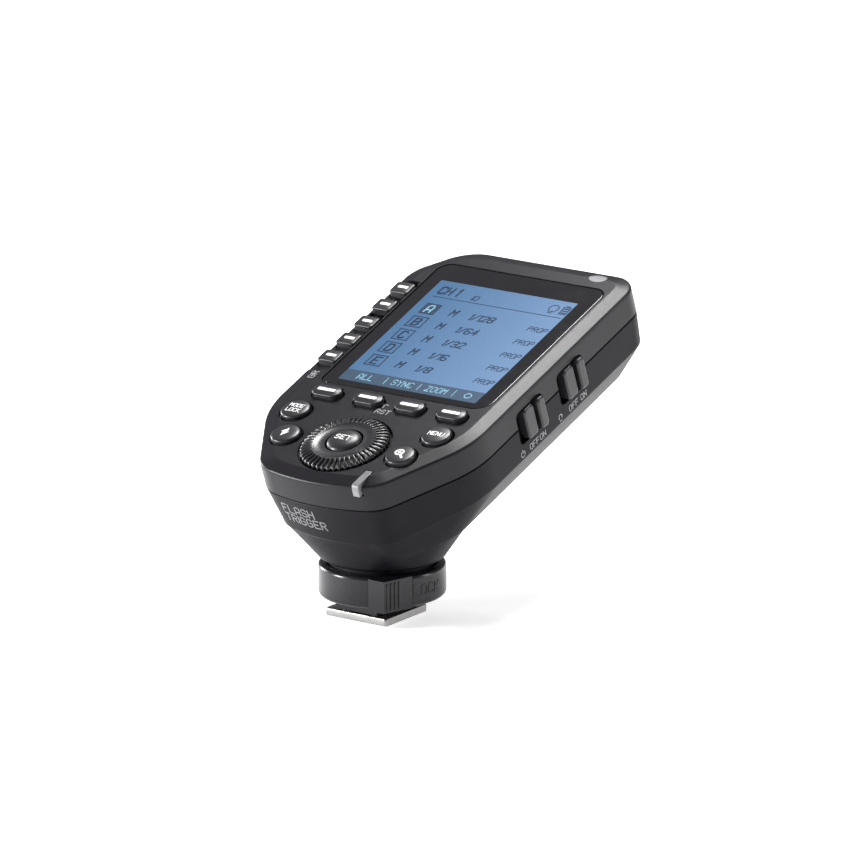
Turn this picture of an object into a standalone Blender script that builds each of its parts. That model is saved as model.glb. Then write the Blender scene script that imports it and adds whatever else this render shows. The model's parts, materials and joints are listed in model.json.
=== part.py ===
"""A camera-top wireless flash trigger, built as an assembly of separate pieces.

World frame: origin in the middle of the foot's underside, +X to the operator's right,
+Y the way the foot slides into a camera's hot shoe, +Z up.

The housing leans back on its neck. Its pieces are laid out in the face frame: u runs to the
right, v runs up the sloping control face and w points out of it, with the origin on the
control dial's axis. The neck, lock ring and foot are laid out in the world frame.
"""
import math

import bmesh
import bpy
from mathutils import Matrix, Vector

MM = 0.001
GAP = 0.3 * MM                       # running and moulding gap between neighbours

# Face frame
FACE_TILT = math.radians(19.85)
FACE_ORIGIN = Vector((0.0, -12.455, 45.676)) * MM

# Housing, in the face frame: outline corners as (u, v, corner radius)
HALF_WIDTH = 31.0 * MM
SCREEN_END = 86.9 * MM
CASE_CORNERS = [
    (31.0, 86.9, 7.0), (-21.3, 86.9, 13.0), (-31.0, 74.9, 10.0), (-31.0, 9.7, 25.0),
    (-17.5, -13.1, 9.3), (0.0, -17.0, 62.0), (17.5, -13.1, 9.3), (31.0, 9.7, 25.0),
]
HEM_CORNERS = [
    (30.5, 86.5, 7.0), (-21.0, 86.5, 12.6), (-30.5, 74.7, 9.7), (-30.2, 10.6, 23.0),
    (-16.0, -11.3, 8.2), (0.0, -15.6, 50.0), (16.6, -11.7, 8.2), (30.5, 9.9, 24.0),
]
BELLY_CORNERS = [
    (23.5, 83.6, 6.0), (-16.5, 83.6, 9.0), (-23.5, 75.0, 8.0), (-22.5, 7.5, 14.0),
    (-14.6, -7.2, 6.5), (0.0, -11.2, 42.0), (15.6, -8.4, 6.5), (23.5, 5.5, 14.0),
]
CREASE_INSET = 0.5 * MM              # the face's bevel ends in this crease
FACE_INSET = 3.6 * MM                # the bevel's inner edge
CREASE_LEVEL = -0.9 * MM
PARTING_LEVEL = -8.1 * MM
HEM_LEVEL = -16.9 * MM               # the side walls end here, and drop further round the nose
NOSE_DROP = 2.0 * MM
NOSE_START = 14.0 * MM
NOSE_LENGTH = 24.0 * MM
BELLY_LEVEL = -26.2 * MM
WALL = 2.0 * MM
SKIN = 2.6 * MM

# Display
WINDOW_CORNERS = [(26.5, 79.05, 3.6), (-23.75, 79.05, 3.6), (-23.75, 22.85, 2.2), (26.5, 22.85, 4.8)]
WINDOW_THICKNESS = 1.5 * MM
WINDOW_POCKET = 1.8 * MM
LCD_CORNERS = [(24.3, 75.4, 0.6), (-22.4, 75.4, 0.6), (-22.4, 25.4, 0.6), (24.3, 25.4, 0.6)]
LCD_TOP = -2.9 * MM
LCD_THICKNESS = 1.4 * MM
BACKLIGHT_TOP = -4.6 * MM
BACKLIGHT_THICKNESS = 0.8 * MM
BOARD_TOP = -5.7 * MM
BOARD_THICKNESS = 1.2 * MM

# Buttons: u, v of each centre
GROUP_BUTTONS = "abcde"
GROUP_U = -27.4 * MM
GROUP_FIRST_V = 33.4 * MM
GROUP_PITCH = 8.05 * MM
GROUP_SIZE = (5.4 * MM, 4.6 * MM)
GROUP_CHANNEL = (-24.4 * MM, 27.6 * MM, 69.4 * MM)      # inner edge u, lowest v, highest v
GROUP_CHANNEL_FLOOR = -1.5 * MM
GROUP_TOP = 0.45 * MM
FUNCTION_COUNT = 4
FUNCTION_FIRST_U = -17.65 * MM
FUNCTION_PITCH = 12.53 * MM
FUNCTION_V = 18.05 * MM
FUNCTION_SIZE = (8.2 * MM, 4.3 * MM)
FUNCTION_TOP = 1.6 * MM
ROUND_BUTTONS = {
    "mode_lock_button": (-21.3 * MM, 9.3 * MM),
    "menu_button": (21.3 * MM, 9.3 * MM),
    "flash_test_button": (-17.3 * MM, -0.8 * MM),
    "zoom_button": (17.3 * MM, -0.8 * MM),
}
ROUND_RADIUS = 3.8 * MM
ROUND_TOP = 1.2 * MM
SHROUD_DEPTH = 0.9 * MM              # moulded recess around each button
FLANGE_TOP = -3.2 * MM
FLANGE_BOTTOM = -3.8 * MM
SWITCH_TOP = -4.5 * MM

# Dome sheet: the outline's corners, anticlockwise, with a strip up the left for the group buttons
SHEET_CORNERS = [(-19.0, -4.0), (-8.5, -11.0), (8.5, -11.0), (19.0, -4.0), (23.6, 4.0), (24.6, 19.6),
                 (-23.0, 19.6), (-23.0, 68.0), (-28.0, 68.0), (-28.0, 26.5), (-24.7, 26.5), (-23.6, 4.0)]

# Control dial and its centre button
DIAL_RADIUS = 11.2 * MM
DIAL_DISC_RADIUS = 7.7 * MM
DIAL_BORE = 4.9 * MM
DIAL_HUB_RADIUS = 6.3 * MM
DIAL_TOP = 1.5 * MM
DIAL_RIM_LEVEL = 0.6 * MM
DIAL_BOTTOM = -0.6 * MM
DIAL_WELL_RADIUS = 11.7 * MM
DIAL_WELL_DEPTH = 1.1 * MM
DIAL_TEETH = 46
DIAL_TOOTH_DEPTH = 0.55 * MM
SET_RADIUS = 4.4 * MM
ENCODER_HALF = 7.7 * MM
SET_TOP = 2.3 * MM

# Slide switches on the right-hand side: slot ends in v, knob length
SWITCHES = {
    "power_switch_knob": (28.1 * MM, 39.7 * MM, 8.9 * MM),
    "assist_lamp_switch_knob": (46.3 * MM, 57.7 * MM, 8.9 * MM),
}
SWITCH_SLOT_TOP = -3.9 * MM
SWITCH_SLOT_BOTTOM = -13.0 * MM
KNOB_PROUD = 1.3 * MM

# Battery bay
CELL_RADIUS = 7.25 * MM
CELL_LENGTH = 50.5 * MM
CELL_START = 29.0 * MM
CELL_U = 7.6 * MM
CELL_W = -16.2 * MM
TRAY = (16.4 * MM, 26.0 * MM, 81.4 * MM, -8.2 * MM, -18.2 * MM)    # half width, v, v, w, w
DOOR_HALF_WIDTH = 16.9 * MM
DOOR_START = 29.3 * MM
DOOR_END = 78.6 * MM
DOOR_THICKNESS = 1.7 * MM
DOOR_PIN_RADIUS = 0.5 * MM
DOOR_BARREL_RADIUS = 1.1 * MM
DOOR_PIN_V = 79.9 * MM
DOOR_PIN_W = BELLY_LEVEL + DOOR_BARREL_RADIUS
DOOR_TRAVEL = 1.6 * MM
DOOR_POCKET_END = DOOR_PIN_V + DOOR_TRAVEL + DOOR_BARREL_RADIUS + GAP

# Status light pipe
PIPE_U = 13.0 * MM
PIPE_HALF_WIDTH = 0.95 * MM
PIPE_BOTTOM = -3.2 * MM

# Case screws: u, v
CASE_SCREWS = [(27.3, 22.5), (-27.3, 22.5), (26.6, 82.0), (-20.5, 82.0)]

# Neck, lock ring and foot, in the world frame
RING_Y = 2.5 * MM
RING_RADIUS = 15.8 * MM
RING_BORE = 13.5 * MM
RING_BOTTOM = 4.9 * MM
RING_TOP = 12.9 * MM
NECK_BOTTOM = 14.8 * MM
NECK_RADIUS = 15.7 * MM
NECK_LIP = (14.5 * MM, 14.1 * MM)      # radius and height of the chamfer under the neck
NECK_HEM_INSET = 0.35 * MM             # round the nose the neck starts this far inside the hem
NECK_TOP_HALF_WIDTH = 23.0 * MM
NECK_TOP_HALF_LENGTH = 18.8 * MM
NECK_TOP_V = 9.6 * MM
NECK_SQUARENESS = 3.4
NECK_STEPS = 40
BOSS_RADIUS = 13.1 * MM
LUG_CORNERS = [(7.2, -13.2), (11.9, -13.1), (14.4, -4.8), (12.0, -2.0), (6.0, -10.0)]
LUG_RIBS = 4
FOOT_WIDTH = 18.6 * MM
FOOT_LENGTH = 17.2 * MM
FOOT_THICKNESS = 2.0 * MM
FOOT_NECK_HALF_WIDTH = 6.1 * MM
BASE_PLATE_BOTTOM = 3.7 * MM
BASE_PLATE_TOP = 4.6 * MM
CONTACT_WINDOW = (5.7 * MM, 4.8 * MM)
FIRING_CONTACT = (0.0, 2.5 * MM)
FIRING_RADIUS = 1.1 * MM
DATA_CONTACTS = [(-4.2 * MM, -3.0 * MM), (-1.4 * MM, -3.0 * MM), (1.4 * MM, -3.0 * MM), (4.2 * MM, -3.0 * MM)]
DATA_RADIUS = 0.65 * MM
LOCK_PIN = (0.0, 6.8 * MM)
LOCK_PIN_RADIUS = 1.0 * MM
FOOT_SCREWS = [(-4.4 * MM, -6.7 * MM), (4.4 * MM, -6.7 * MM), (-4.4 * MM, 6.7 * MM), (4.4 * MM, 6.7 * MM)]

FACE_MATRIX = Matrix.Translation(FACE_ORIGIN) @ Matrix.Rotation(FACE_TILT, 4, 'X')
TO_FACE = FACE_MATRIX.inverted()

FINISHES = {
    "case": ((0.035, 0.034, 0.038), 0.42, 0.0),
    "button": ((0.05, 0.05, 0.055), 0.5, 0.0),
    "glass": ((0.006, 0.006, 0.008), 0.08, 0.0),
    "lcd": ((0.25, 0.42, 0.72), 0.3, 0.0),
    "white": ((0.8, 0.8, 0.78), 0.5, 0.0),
    "board": ((0.02, 0.13, 0.06), 0.5, 0.0),
    "metal": ((0.62, 0.62, 0.63), 0.3, 1.0),
    "gold": ((0.85, 0.62, 0.28), 0.3, 1.0),
    "pipe": ((0.45, 0.45, 0.47), 0.25, 0.0),
    "rubber": ((0.02, 0.02, 0.022), 0.8, 0.0),
    "cell": ((0.1, 0.16, 0.13), 0.35, 0.0),
    "red": ((0.25, 0.01, 0.01), 0.15, 0.0),
}


# ---------------------------------------------------------------- scene helpers
def clear_scene():
    for thing in list(bpy.data.objects):
        bpy.data.objects.remove(thing, do_unlink=True)


def material(name, finish):
    colour, roughness, metallic = FINISHES[finish]
    made = bpy.data.materials.new(name)
    made.use_nodes = True
    shader = made.node_tree.nodes["Principled BSDF"]
    shader.inputs["Base Color"].default_value = (*colour, 1.0)
    shader.inputs["Roughness"].default_value = roughness
    shader.inputs["Metallic"].default_value = metallic
    return made


def frame_empty(name, matrix):
    empty = bpy.data.objects.new(name, None)
    bpy.context.scene.collection.objects.link(empty)
    empty.matrix_world = matrix
    return empty


def finish_object(name, bm, finish, parent=None, place=(0.0, 0.0, 0.0), smooth=True):
    """Turn a bmesh, built around place, into a named object whose origin is at place."""
    bmesh.ops.recalc_face_normals(bm, faces=bm.faces)
    bmesh.ops.translate(bm, verts=bm.verts, vec=-Vector(place))
    mesh = bpy.data.meshes.new(name)
    bm.to_mesh(mesh)
    bm.free()
    made = bpy.data.objects.new(name, mesh)
    bpy.context.scene.collection.objects.link(made)
    made.location = place
    made.parent = parent
    mesh.materials.append(material(name, finish))
    if smooth:
        mesh.shade_smooth()
        mesh.set_sharp_from_angle(angle=math.radians(32))
    return made


def helper(name, bm, parent=None):
    """A cutter or a solid to be joined: wire display, never built as a piece."""
    made = finish_object(name, bm, "white", parent, smooth=False)
    made.hide_render = True
    made.display_type = 'WIRE'
    return made


def boolean(target, other, operation, overlapping=False):
    modifier = target.modifiers.new(f"{operation} {other.name}", 'BOOLEAN')
    modifier.operation = operation
    modifier.solver = 'EXACT'
    modifier.use_self = overlapping
    modifier.object = other


# ---------------------------------------------------------------- shape helpers
def scaled(corners):
    return [(u * MM, v * MM, radius * MM) for u, v, radius in corners]


def blend(first, second, share):
    """Corners that lie a given share of the way from the first list to the second."""
    return [tuple(a + (b - a) * share for a, b in zip(p, q)) for p, q in zip(first, second)]


def rounded_outline(corners, inset=0.0, steps=5):
    """An anticlockwise outline with rounded corners, moved inwards by inset."""
    count = len(corners)
    points = [Vector(corner[:2]) for corner in corners]
    runs = [(points[(i + 1) % count] - points[i]).normalized() for i in range(count)]
    inward = [Vector((-run.y, run.x)) for run in runs]
    outline = []
    for i in range(count):
        before, after = runs[i - 1], runs[i]
        turn = math.atan2(before.cross(after), before.dot(after))
        shift = inward[i - 1] + inward[i]
        corner = points[i] + shift * (inset / (1.0 + before.dot(after)))
        radius = max(corners[i][2] - inset, 0.3 * MM)
        start = corner - before * radius * math.tan(turn / 2)
        centre = start + inward[i - 1] * radius
        for step in range(steps + 1):
            spoke = Matrix.Rotation(turn * step / steps, 2) @ (start - centre)
            outline.append(centre + spoke)
    return outline


def circle(centre, radius, steps=24, phase=0.0):
    return [
        Vector((centre[0] + radius * math.cos(phase + math.tau * i / steps),
                centre[1] + radius * math.sin(phase + math.tau * i / steps)))
        for i in range(steps)
    ]


def rectangle(u0, u1, v0, v1):
    return [Vector((u0, v0)), Vector((u1, v0)), Vector((u1, v1)), Vector((u0, v1))]


def soft_rectangle(u0, u1, v0, v1, radius, steps=4):
    corners = [(u1, v1, radius), (u0, v1, radius), (u0, v0, radius), (u1, v0, radius)]
    return rounded_outline(corners, steps=steps)


def at_level(outline, w):
    return [Vector((point.x, point.y, w)) for point in outline]


def add_loft(bm, rings):
    """A closed body through rings of equal length, capped at both ends."""
    loops = [[bm.verts.new(point) for point in ring] for ring in rings]
    count = len(loops[0])
    for low, high in zip(loops, loops[1:]):
        for i in range(count):
            j = (i + 1) % count
            bm.faces.new((low[i], low[j], high[j], high[i]))
    bm.faces.new(loops[0][::-1])
    bm.faces.new(loops[-1])


def add_prism(bm, outline, low, high):
    add_loft(bm, [at_level(outline, low), at_level(outline, high)])


def add_box(bm, low, high):
    add_prism(bm, rectangle(low[0], high[0], low[1], high[1]), low[2], high[2])


def add_turned(bm, centre, profile, steps=24):
    """A turned body about the local Z axis, closed at both ends: profile is (radius, height)."""
    add_loft(bm, [at_level(circle(centre, radius, steps), height) for radius, height in profile])


def add_turned_ring(bm, centre, profile, steps=32):
    """A turned body with a bore: profile is a closed loop of (radius, height)."""
    loops = [[bm.verts.new((*point, height)) for point in circle(centre, radius, steps)]
             for radius, height in profile]
    for k, loop in enumerate(loops):
        following = loops[(k + 1) % len(loops)]
        for i in range(steps):
            j = (i + 1) % steps
            bm.faces.new((loop[i], loop[j], following[j], following[i]))


def add_cylinder_along(bm, axis, centre, radius, start, end, steps=16):
    """A cylinder along local X or Y, between start and end on that axis."""
    loops = []
    for along in (start, end):
        ring = []
        for point in circle((centre[0], centre[1]), radius, steps):
            ring.append(Vector((along, point.x, point.y)) if axis == 'X' else Vector((point.x, along, point.y)))
        loops.append(ring)
    add_loft(bm, loops)


def add_coil(bm, centre, radii, low, high, turns, wire, axis='Z', steps=14, sides=6):
    """A coil spring whose radius runs from radii[0] to radii[1]."""
    total = int(turns * steps)
    rings = []
    for k in range(total + 1):
        share = k / total
        angle = math.tau * turns * share
        radius = radii[0] + (radii[1] - radii[0]) * share
        out = Vector((math.cos(angle), math.sin(angle), 0.0))
        middle = out * radius + Vector((0.0, 0.0, low + (high - low) * share))
        ring = []
        for side in range(sides):
            spin = math.tau * side / sides
            ring.append(middle + out * wire * math.cos(spin) + Vector((0, 0, wire * math.sin(spin))))
        rings.append(ring)
    if axis == 'Y':
        rings = [[Vector((p.x, p.z, p.y)) for p in ring] for ring in rings]
    shift = Vector(centre)
    add_loft(bm, [[p + shift for p in ring] for ring in rings])


# ---------------------------------------------------------------- housing
def nose_drop(v):
    """How far the hem hangs below HEM_LEVEL at a height v on the face."""
    share = min(max((NOSE_START - v) / NOSE_LENGTH, 0.0), 1.0)
    return NOSE_DROP * share * share * (3.0 - 2.0 * share)


def wall_section(level, inset=0.0):
    """The vertical wall's outline above the hem, drafted inwards below the parting line."""
    share = min(max((PARTING_LEVEL - level) / (PARTING_LEVEL - HEM_LEVEL), 0.0), 1.0)
    return at_level(rounded_outline(blend(scaled(CASE_CORNERS), scaled(HEM_CORNERS), share), inset), level)


def hem_section(rise, inset):
    """The outline that follows the dropping hem, at a height rise above it."""
    ring = at_level(rounded_outline(scaled(HEM_CORNERS), inset), HEM_LEVEL + rise)
    return [Vector((p.x, p.y, p.z - nose_drop(p.y))) for p in ring]


def belly_section(share, inset=0.0):
    """The slanted underside, from just below the hem (0) to the flat belly (1)."""
    hem = hem_section(0.0, inset)
    belly = at_level(rounded_outline(scaled(BELLY_CORNERS), inset), BELLY_LEVEL)
    return [p.lerp(q, share) for p, q in zip(hem, belly)]


def upper_case(face):
    bm = bmesh.new()
    add_loft(bm, [
        wall_section(PARTING_LEVEL + GAP / 2),
        wall_section(-1.5 * MM),
        wall_section(-1.15 * MM, 0.12 * MM),
        wall_section(CREASE_LEVEL, CREASE_INSET),
        wall_section(0.0, FACE_INSET),
    ])
    case = finish_object("upper_case", bm, "case", face)

    bm = bmesh.new()
    add_loft(bm, [wall_section(PARTING_LEVEL - 1 * MM, WALL), wall_section(-SKIN - 0.5 * MM, WALL),
                  wall_section(-SKIN, WALL + 0.5 * MM)])
    boolean(case, helper("cut_upper_cavity", bm, face), 'DIFFERENCE')

    bm = bmesh.new()
    for u, v in CASE_SCREWS:
        add_turned(bm, (u * MM, v * MM), [(2.3 * MM, -7.9 * MM), (2.3 * MM, -SKIN + 0.4 * MM)], 16)
    boolean(case, helper("upper_bosses", bm, face), 'UNION')

    bm = bmesh.new()
    for u, v in CASE_SCREWS:
        add_turned(bm, (u * MM, v * MM), [(1.25 * MM, -9 * MM), (1.25 * MM, -4.6 * MM)], 12)
    window = scaled(WINDOW_CORNERS)
    add_prism(bm, rounded_outline(window, -GAP / 2), -WINDOW_POCKET, 1 * MM)
    add_light_pipe(bm, GAP)
    add_prism(bm, channel_outline(), GROUP_CHANNEL_FLOOR, 2 * MM)
    for u, v in ROUND_BUTTONS.values():
        add_turned(bm, (u, v), [(ROUND_RADIUS + 0.45 * MM, -SHROUD_DEPTH), (ROUND_RADIUS + 0.9 * MM, 1 * MM)])
    for i in range(FUNCTION_COUNT):
        add_prism(bm, function_outline(i, 0.55 * MM), -SHROUD_DEPTH, 1 * MM)
    add_turned(bm, (0, 0), [(DIAL_WELL_RADIUS, -DIAL_WELL_DEPTH), (DIAL_WELL_RADIUS + 0.4 * MM, 1 * MM)], 48)
    boolean(case, helper("cut_upper_outside", bm, face), 'DIFFERENCE')

    bm = bmesh.new()
    add_prism(bm, rounded_outline(window, 1.6 * MM), -6 * MM, 0.5 * MM)
    for u, v in ROUND_BUTTONS.values():
        add_turned(bm, (u, v), [(ROUND_RADIUS + GAP, -6 * MM), (ROUND_RADIUS + GAP, 0.5 * MM)])
    for i in range(FUNCTION_COUNT):
        add_prism(bm, function_outline(i, GAP), -6 * MM, 0.5 * MM)
    for i in range(len(GROUP_BUTTONS)):
        add_prism(bm, group_outline(i, GAP), -6 * MM, 0.5 * MM)
    add_turned(bm, (0, 0), [(DIAL_HUB_RADIUS + GAP, -6 * MM), (DIAL_HUB_RADIUS + GAP, 0.5 * MM)], 32)
    boolean(case, helper("cut_upper_holes", bm, face), 'DIFFERENCE')
    return case


def ray_to_outline(centre, along, across, outline):
    """The point where a ray from centre leaves a convex outline of 3D points."""
    for i, first in enumerate(outline):
        second = outline[(i + 1) % len(outline)]
        side = second - first
        turn = along * side.y - across * side.x
        if abs(turn) < 1e-12:
            continue
        reach = ((first.x - centre[0]) * side.y - (first.y - centre[1]) * side.x) / turn
        share = ((first.x - centre[0]) * across - (first.y - centre[1]) * along) / turn
        if reach > 0 and -1e-6 <= share <= 1 + 1e-6:
            return first.lerp(second, share)
    return Vector((centre[0], centre[1], 0.0))


def neck_ring(share):
    """One ring of the neck, from its round lower end (0) to where it meets the belly and the hem (1)."""
    ring = []
    hem = hem_section(-0.1 * MM, NECK_HEM_INSET)
    for i in range(NECK_STEPS):
        angle = math.tau * i / NECK_STEPS
        along, across = math.cos(angle), math.sin(angle)
        low = TO_FACE @ Vector((NECK_RADIUS * along, RING_Y + NECK_RADIUS * across, NECK_BOTTOM))
        squareness = (abs(along) ** NECK_SQUARENESS + abs(across) ** NECK_SQUARENESS) ** (-1 / NECK_SQUARENESS)
        back = Vector((NECK_TOP_HALF_WIDTH * along * squareness,
                       NECK_TOP_V + NECK_TOP_HALF_LENGTH * across * squareness, BELLY_LEVEL + 1.0 * MM))
        nose = ray_to_outline((0.0, NECK_TOP_V), along, across, hem)
        forward = min(max(-across / 0.4, 0.0), 1.0)
        high = back.lerp(nose, forward * forward * (3.0 - 2.0 * forward))
        ring.append(low.lerp(high, share))
    return ring


def neck_ends():
    """The neck's lowest ring, at the foot of its chamfer, and a flat one hidden in the case."""
    radius, level = NECK_LIP
    lip = [TO_FACE @ Vector((p.x, p.y, level)) for p in circle((0, RING_Y), radius, NECK_STEPS)]
    return lip, at_level(circle((0, NECK_TOP_V), NECK_TOP_HALF_LENGTH - 6 * MM, NECK_STEPS), HEM_LEVEL + 2 * MM)


def world_prism(bm, outline, low, high):
    """A prism along world Z, given in face coordinates."""
    add_loft(bm, [[TO_FACE @ Vector((p.x, p.y, z)) for p in outline] for z in (low, high)])


def lower_case(face):
    bm = bmesh.new()
    add_loft(bm, [
        belly_section(1.0, 0.8 * MM), belly_section(0.94), belly_section(0.07, 0.15 * MM),
        hem_section(0.0, 0.1 * MM), hem_section(0.7 * MM, 0.0), wall_section(PARTING_LEVEL - GAP / 2),
    ])
    case = finish_object("lower_case", bm, "case", face)

    lip, lid = neck_ends()
    bm = bmesh.new()
    add_loft(bm, [lip, neck_ring(0.0), neck_ring(1.0), lid])
    boolean(case, helper("neck", bm, face), 'UNION')
    bm = bmesh.new()
    world_prism(bm, circle((0, RING_Y), BOSS_RADIUS, NECK_STEPS), BASE_PLATE_TOP + GAP, NECK_BOTTOM + 1.5 * MM)
    boolean(case, helper("neck_boss", bm, face), 'UNION')

    bm = bmesh.new()
    floor = [Vector((p.x, p.y, BELLY_LEVEL + 1.8 * MM)) for p in belly_section(0.8, 2.0 * MM)]
    add_loft(bm, [floor, hem_section(0.0, WALL + 0.2 * MM), wall_section(PARTING_LEVEL + 1 * MM, WALL)])
    boolean(case, helper("cut_lower_cavity", bm, face), 'DIFFERENCE')

    bm = bmesh.new()
    for u, v in CASE_SCREWS:
        add_turned(bm, (u * MM, v * MM), [(2.3 * MM, -17.0 * MM), (2.3 * MM, -8.6 * MM)], 16)
    boolean(case, helper("lower_bosses", bm, face), 'UNION')

    bm = bmesh.new()
    for u, v in CASE_SCREWS:
        add_turned(bm, (u * MM, v * MM), [(2.0 * MM, -30 * MM), (2.0 * MM, -13.4 * MM)], 16)
        add_turned(bm, (u * MM, v * MM), [(1.25 * MM, -13.5 * MM), (1.25 * MM, -6 * MM)], 12)
    add_box(bm, (-DOOR_HALF_WIDTH - GAP, DOOR_START - GAP, BELLY_LEVEL - 2 * MM),
            (DOOR_HALF_WIDTH + GAP, DOOR_POCKET_END, BELLY_LEVEL + 2.3 * MM))
    boolean(case, helper("cut_lower_openings", bm, face), 'DIFFERENCE', True)

    bm = bmesh.new()
    for side in (-1, 1):
        inner, outer = sorted((side * (DOOR_HALF_WIDTH - 1 * MM), side * 18.6 * MM))
        add_box(bm, (inner, DOOR_PIN_V - 0.9 * MM, DOOR_PIN_W - 0.8 * MM),
                (outer, DOOR_PIN_V + DOOR_TRAVEL + 0.9 * MM, DOOR_PIN_W + 0.8 * MM))
    world_prism(bm, circle((0, RING_Y), 3.0 * MM, 16), 3 * MM, 26 * MM)
    world_prism(bm, circle(LOCK_PIN, 2.4 * MM, 16), 3 * MM, 11.0 * MM)
    boolean(case, helper("cut_lower_details", bm, face), 'DIFFERENCE', True)
    return case


def side_cuts(face, upper, lower):
    """Openings that cross the parting line: switch slots, sockets and the lamp window."""
    bm = bmesh.new()
    for start, end, _ in SWITCHES.values():
        add_side_slot(bm, start, end, 27.5 * MM, 33 * MM)
    for low, high, bottom, top in ((43.0, 47.4, -13.2, -8.6), (51.0, 55.0, -13.2, -8.6)):
        add_box(bm, (-33 * MM, low * MM, bottom * MM), (-28 * MM, high * MM, top * MM))
    add_box(bm, (-33 * MM, 39.8 * MM, -14.3 * MM), (-30.0 * MM, 57.2 * MM, -8.0 * MM))
    add_box(bm, (-9.3 * MM, 83.6 * MM, -14.6 * MM), (9.3 * MM, 90 * MM, -8.9 * MM))
    cutter = helper("cut_sides", bm, face)
    boolean(upper, cutter, 'DIFFERENCE', True)
    boolean(lower, cutter, 'DIFFERENCE', True)


def add_side_slot(bm, start, end, inner, outer, shrink=0.0):
    """A prism with a rounded outline in v and w, running along u."""
    outline = soft_rectangle(start + shrink, end - shrink, SWITCH_SLOT_BOTTOM + shrink,
                             SWITCH_SLOT_TOP - shrink, 1.6 * MM)
    add_loft(bm, [[Vector((u, point.x, point.y)) for point in outline] for u in (inner, outer)])


def add_light_pipe(bm, gap=0.0):
    """The bent light pipe: over the face's nose edge and down the front wall."""
    front = -15.0 * MM
    outer = [(-8.3 * MM, 0.06 * MM), (front + 1.0 * MM, 0.06 * MM), (front + 0.25 * MM, -0.5 * MM),
             (front, -1.4 * MM), (front, PIPE_BOTTOM)]
    inner = [(front + 1.6 * MM, PIPE_BOTTOM), (front + 1.6 * MM, -1.5 * MM), (-8.3 * MM, -1.3 * MM)]
    shape = [Vector(point) for point in outer + inner]
    if gap:
        shape = [Vector((-8.3 * MM + gap, 2 * MM)), Vector((front - 2 * MM, 2 * MM)),
                 Vector((front - 2 * MM, PIPE_BOTTOM - gap)), Vector((front + 1.6 * MM + gap, PIPE_BOTTOM - gap)),
                 Vector((front + 1.6 * MM + gap, -1.5 * MM - gap)), Vector((-8.3 * MM + gap, -1.3 * MM - gap))]
    half = PIPE_HALF_WIDTH + gap
    add_loft(bm, [[Vector((u, p.x, p.y)) for p in shape] for u in (PIPE_U - half, PIPE_U + half)])


# ---------------------------------------------------------------- display stack
def display_stack(face):
    bm = bmesh.new()
    outline = scaled(WINDOW_CORNERS)
    top = -0.05 * MM
    add_loft(bm, [at_level(rounded_outline(outline, GAP / 2), top - WINDOW_THICKNESS),
                  at_level(rounded_outline(outline, GAP / 2), top - 0.25 * MM),
                  at_level(rounded_outline(outline, GAP / 2 + 0.25 * MM), top)])
    finish_object("display_window", bm, "glass", face)

    bm = bmesh.new()
    add_prism(bm, rounded_outline(scaled(LCD_CORNERS), steps=1), LCD_TOP - LCD_THICKNESS, LCD_TOP)
    finish_object("lcd_panel", bm, "lcd", face)
    bm = bmesh.new()
    add_prism(bm, rounded_outline(scaled(LCD_CORNERS), 0.4 * MM, 1), BACKLIGHT_TOP - BACKLIGHT_THICKNESS,
              BACKLIGHT_TOP)
    finish_object("backlight", bm, "white", face)


def main_board(face):
    bm = bmesh.new()
    add_loft(bm, [wall_section(BOARD_TOP - BOARD_THICKNESS, WALL + 0.6 * MM),
                  wall_section(BOARD_TOP, WALL + 0.6 * MM)])
    board = finish_object("main_board", bm, "board", face, smooth=False)
    bm = bmesh.new()
    for u, v in CASE_SCREWS:
        add_turned(bm, (u * MM, v * MM), [(2.7 * MM, -9 * MM), (2.7 * MM, -4 * MM)], 12)
    for start, end, _ in SWITCHES.values():
        add_box(bm, (26.0 * MM, start - 5 * MM, -9 * MM), (33 * MM, end + 5 * MM, -4 * MM))
    boolean(board, helper("cut_board", bm, face), 'DIFFERENCE', True)


def switch_dome_sheet(face):
    """One moulded sheet on the board, with a dome under every button but the dial's."""
    low = BOARD_TOP + 0.05 * MM
    high = low + 0.4 * MM
    bm = bmesh.new()
    add_prism(bm, [Vector((u * MM, v * MM)) for u, v in SHEET_CORNERS], low, high)
    sheet = finish_object("switch_dome_sheet", bm, "rubber", face)

    places = list(ROUND_BUTTONS.values())
    places += [(FUNCTION_FIRST_U + i * FUNCTION_PITCH, FUNCTION_V) for i in range(FUNCTION_COUNT)]
    bm = bmesh.new()
    for u, v in places:
        add_turned(bm, (u, v), [(2.0 * MM, low + 0.1 * MM), (1.7 * MM, SWITCH_TOP - 0.2 * MM),
                                (1.1 * MM, SWITCH_TOP)], 8)
    for i in range(len(GROUP_BUTTONS)):
        add_turned(bm, (-26.4 * MM, GROUP_FIRST_V + i * GROUP_PITCH),
                   [(1.4 * MM, low + 0.1 * MM), (1.2 * MM, SWITCH_TOP - 0.2 * MM), (0.8 * MM, SWITCH_TOP)], 8)
    boolean(sheet, helper("switch_domes", bm, face), 'UNION')
    bm = bmesh.new()
    half = ENCODER_HALF + GAP
    add_box(bm, (-half, -half, low - 1 * MM), (half, half, high + 1 * MM))
    boolean(sheet, helper("cut_sheet", bm, face), 'DIFFERENCE')


def antenna(face):
    bm = bmesh.new()
    low = BOARD_TOP + 0.05 * MM
    add_box(bm, (-9 * MM, 80.2 * MM, low), (9 * MM, 83.2 * MM, low + 0.8 * MM))
    finish_object("antenna_board", bm, "white", face, smooth=False)


# ---------------------------------------------------------------- buttons
def channel_outline():
    inner, low, high = GROUP_CHANNEL
    return [Vector((-33 * MM, low)), Vector((inner, low)), Vector((inner, high)), Vector((-33 * MM, high))]


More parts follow.
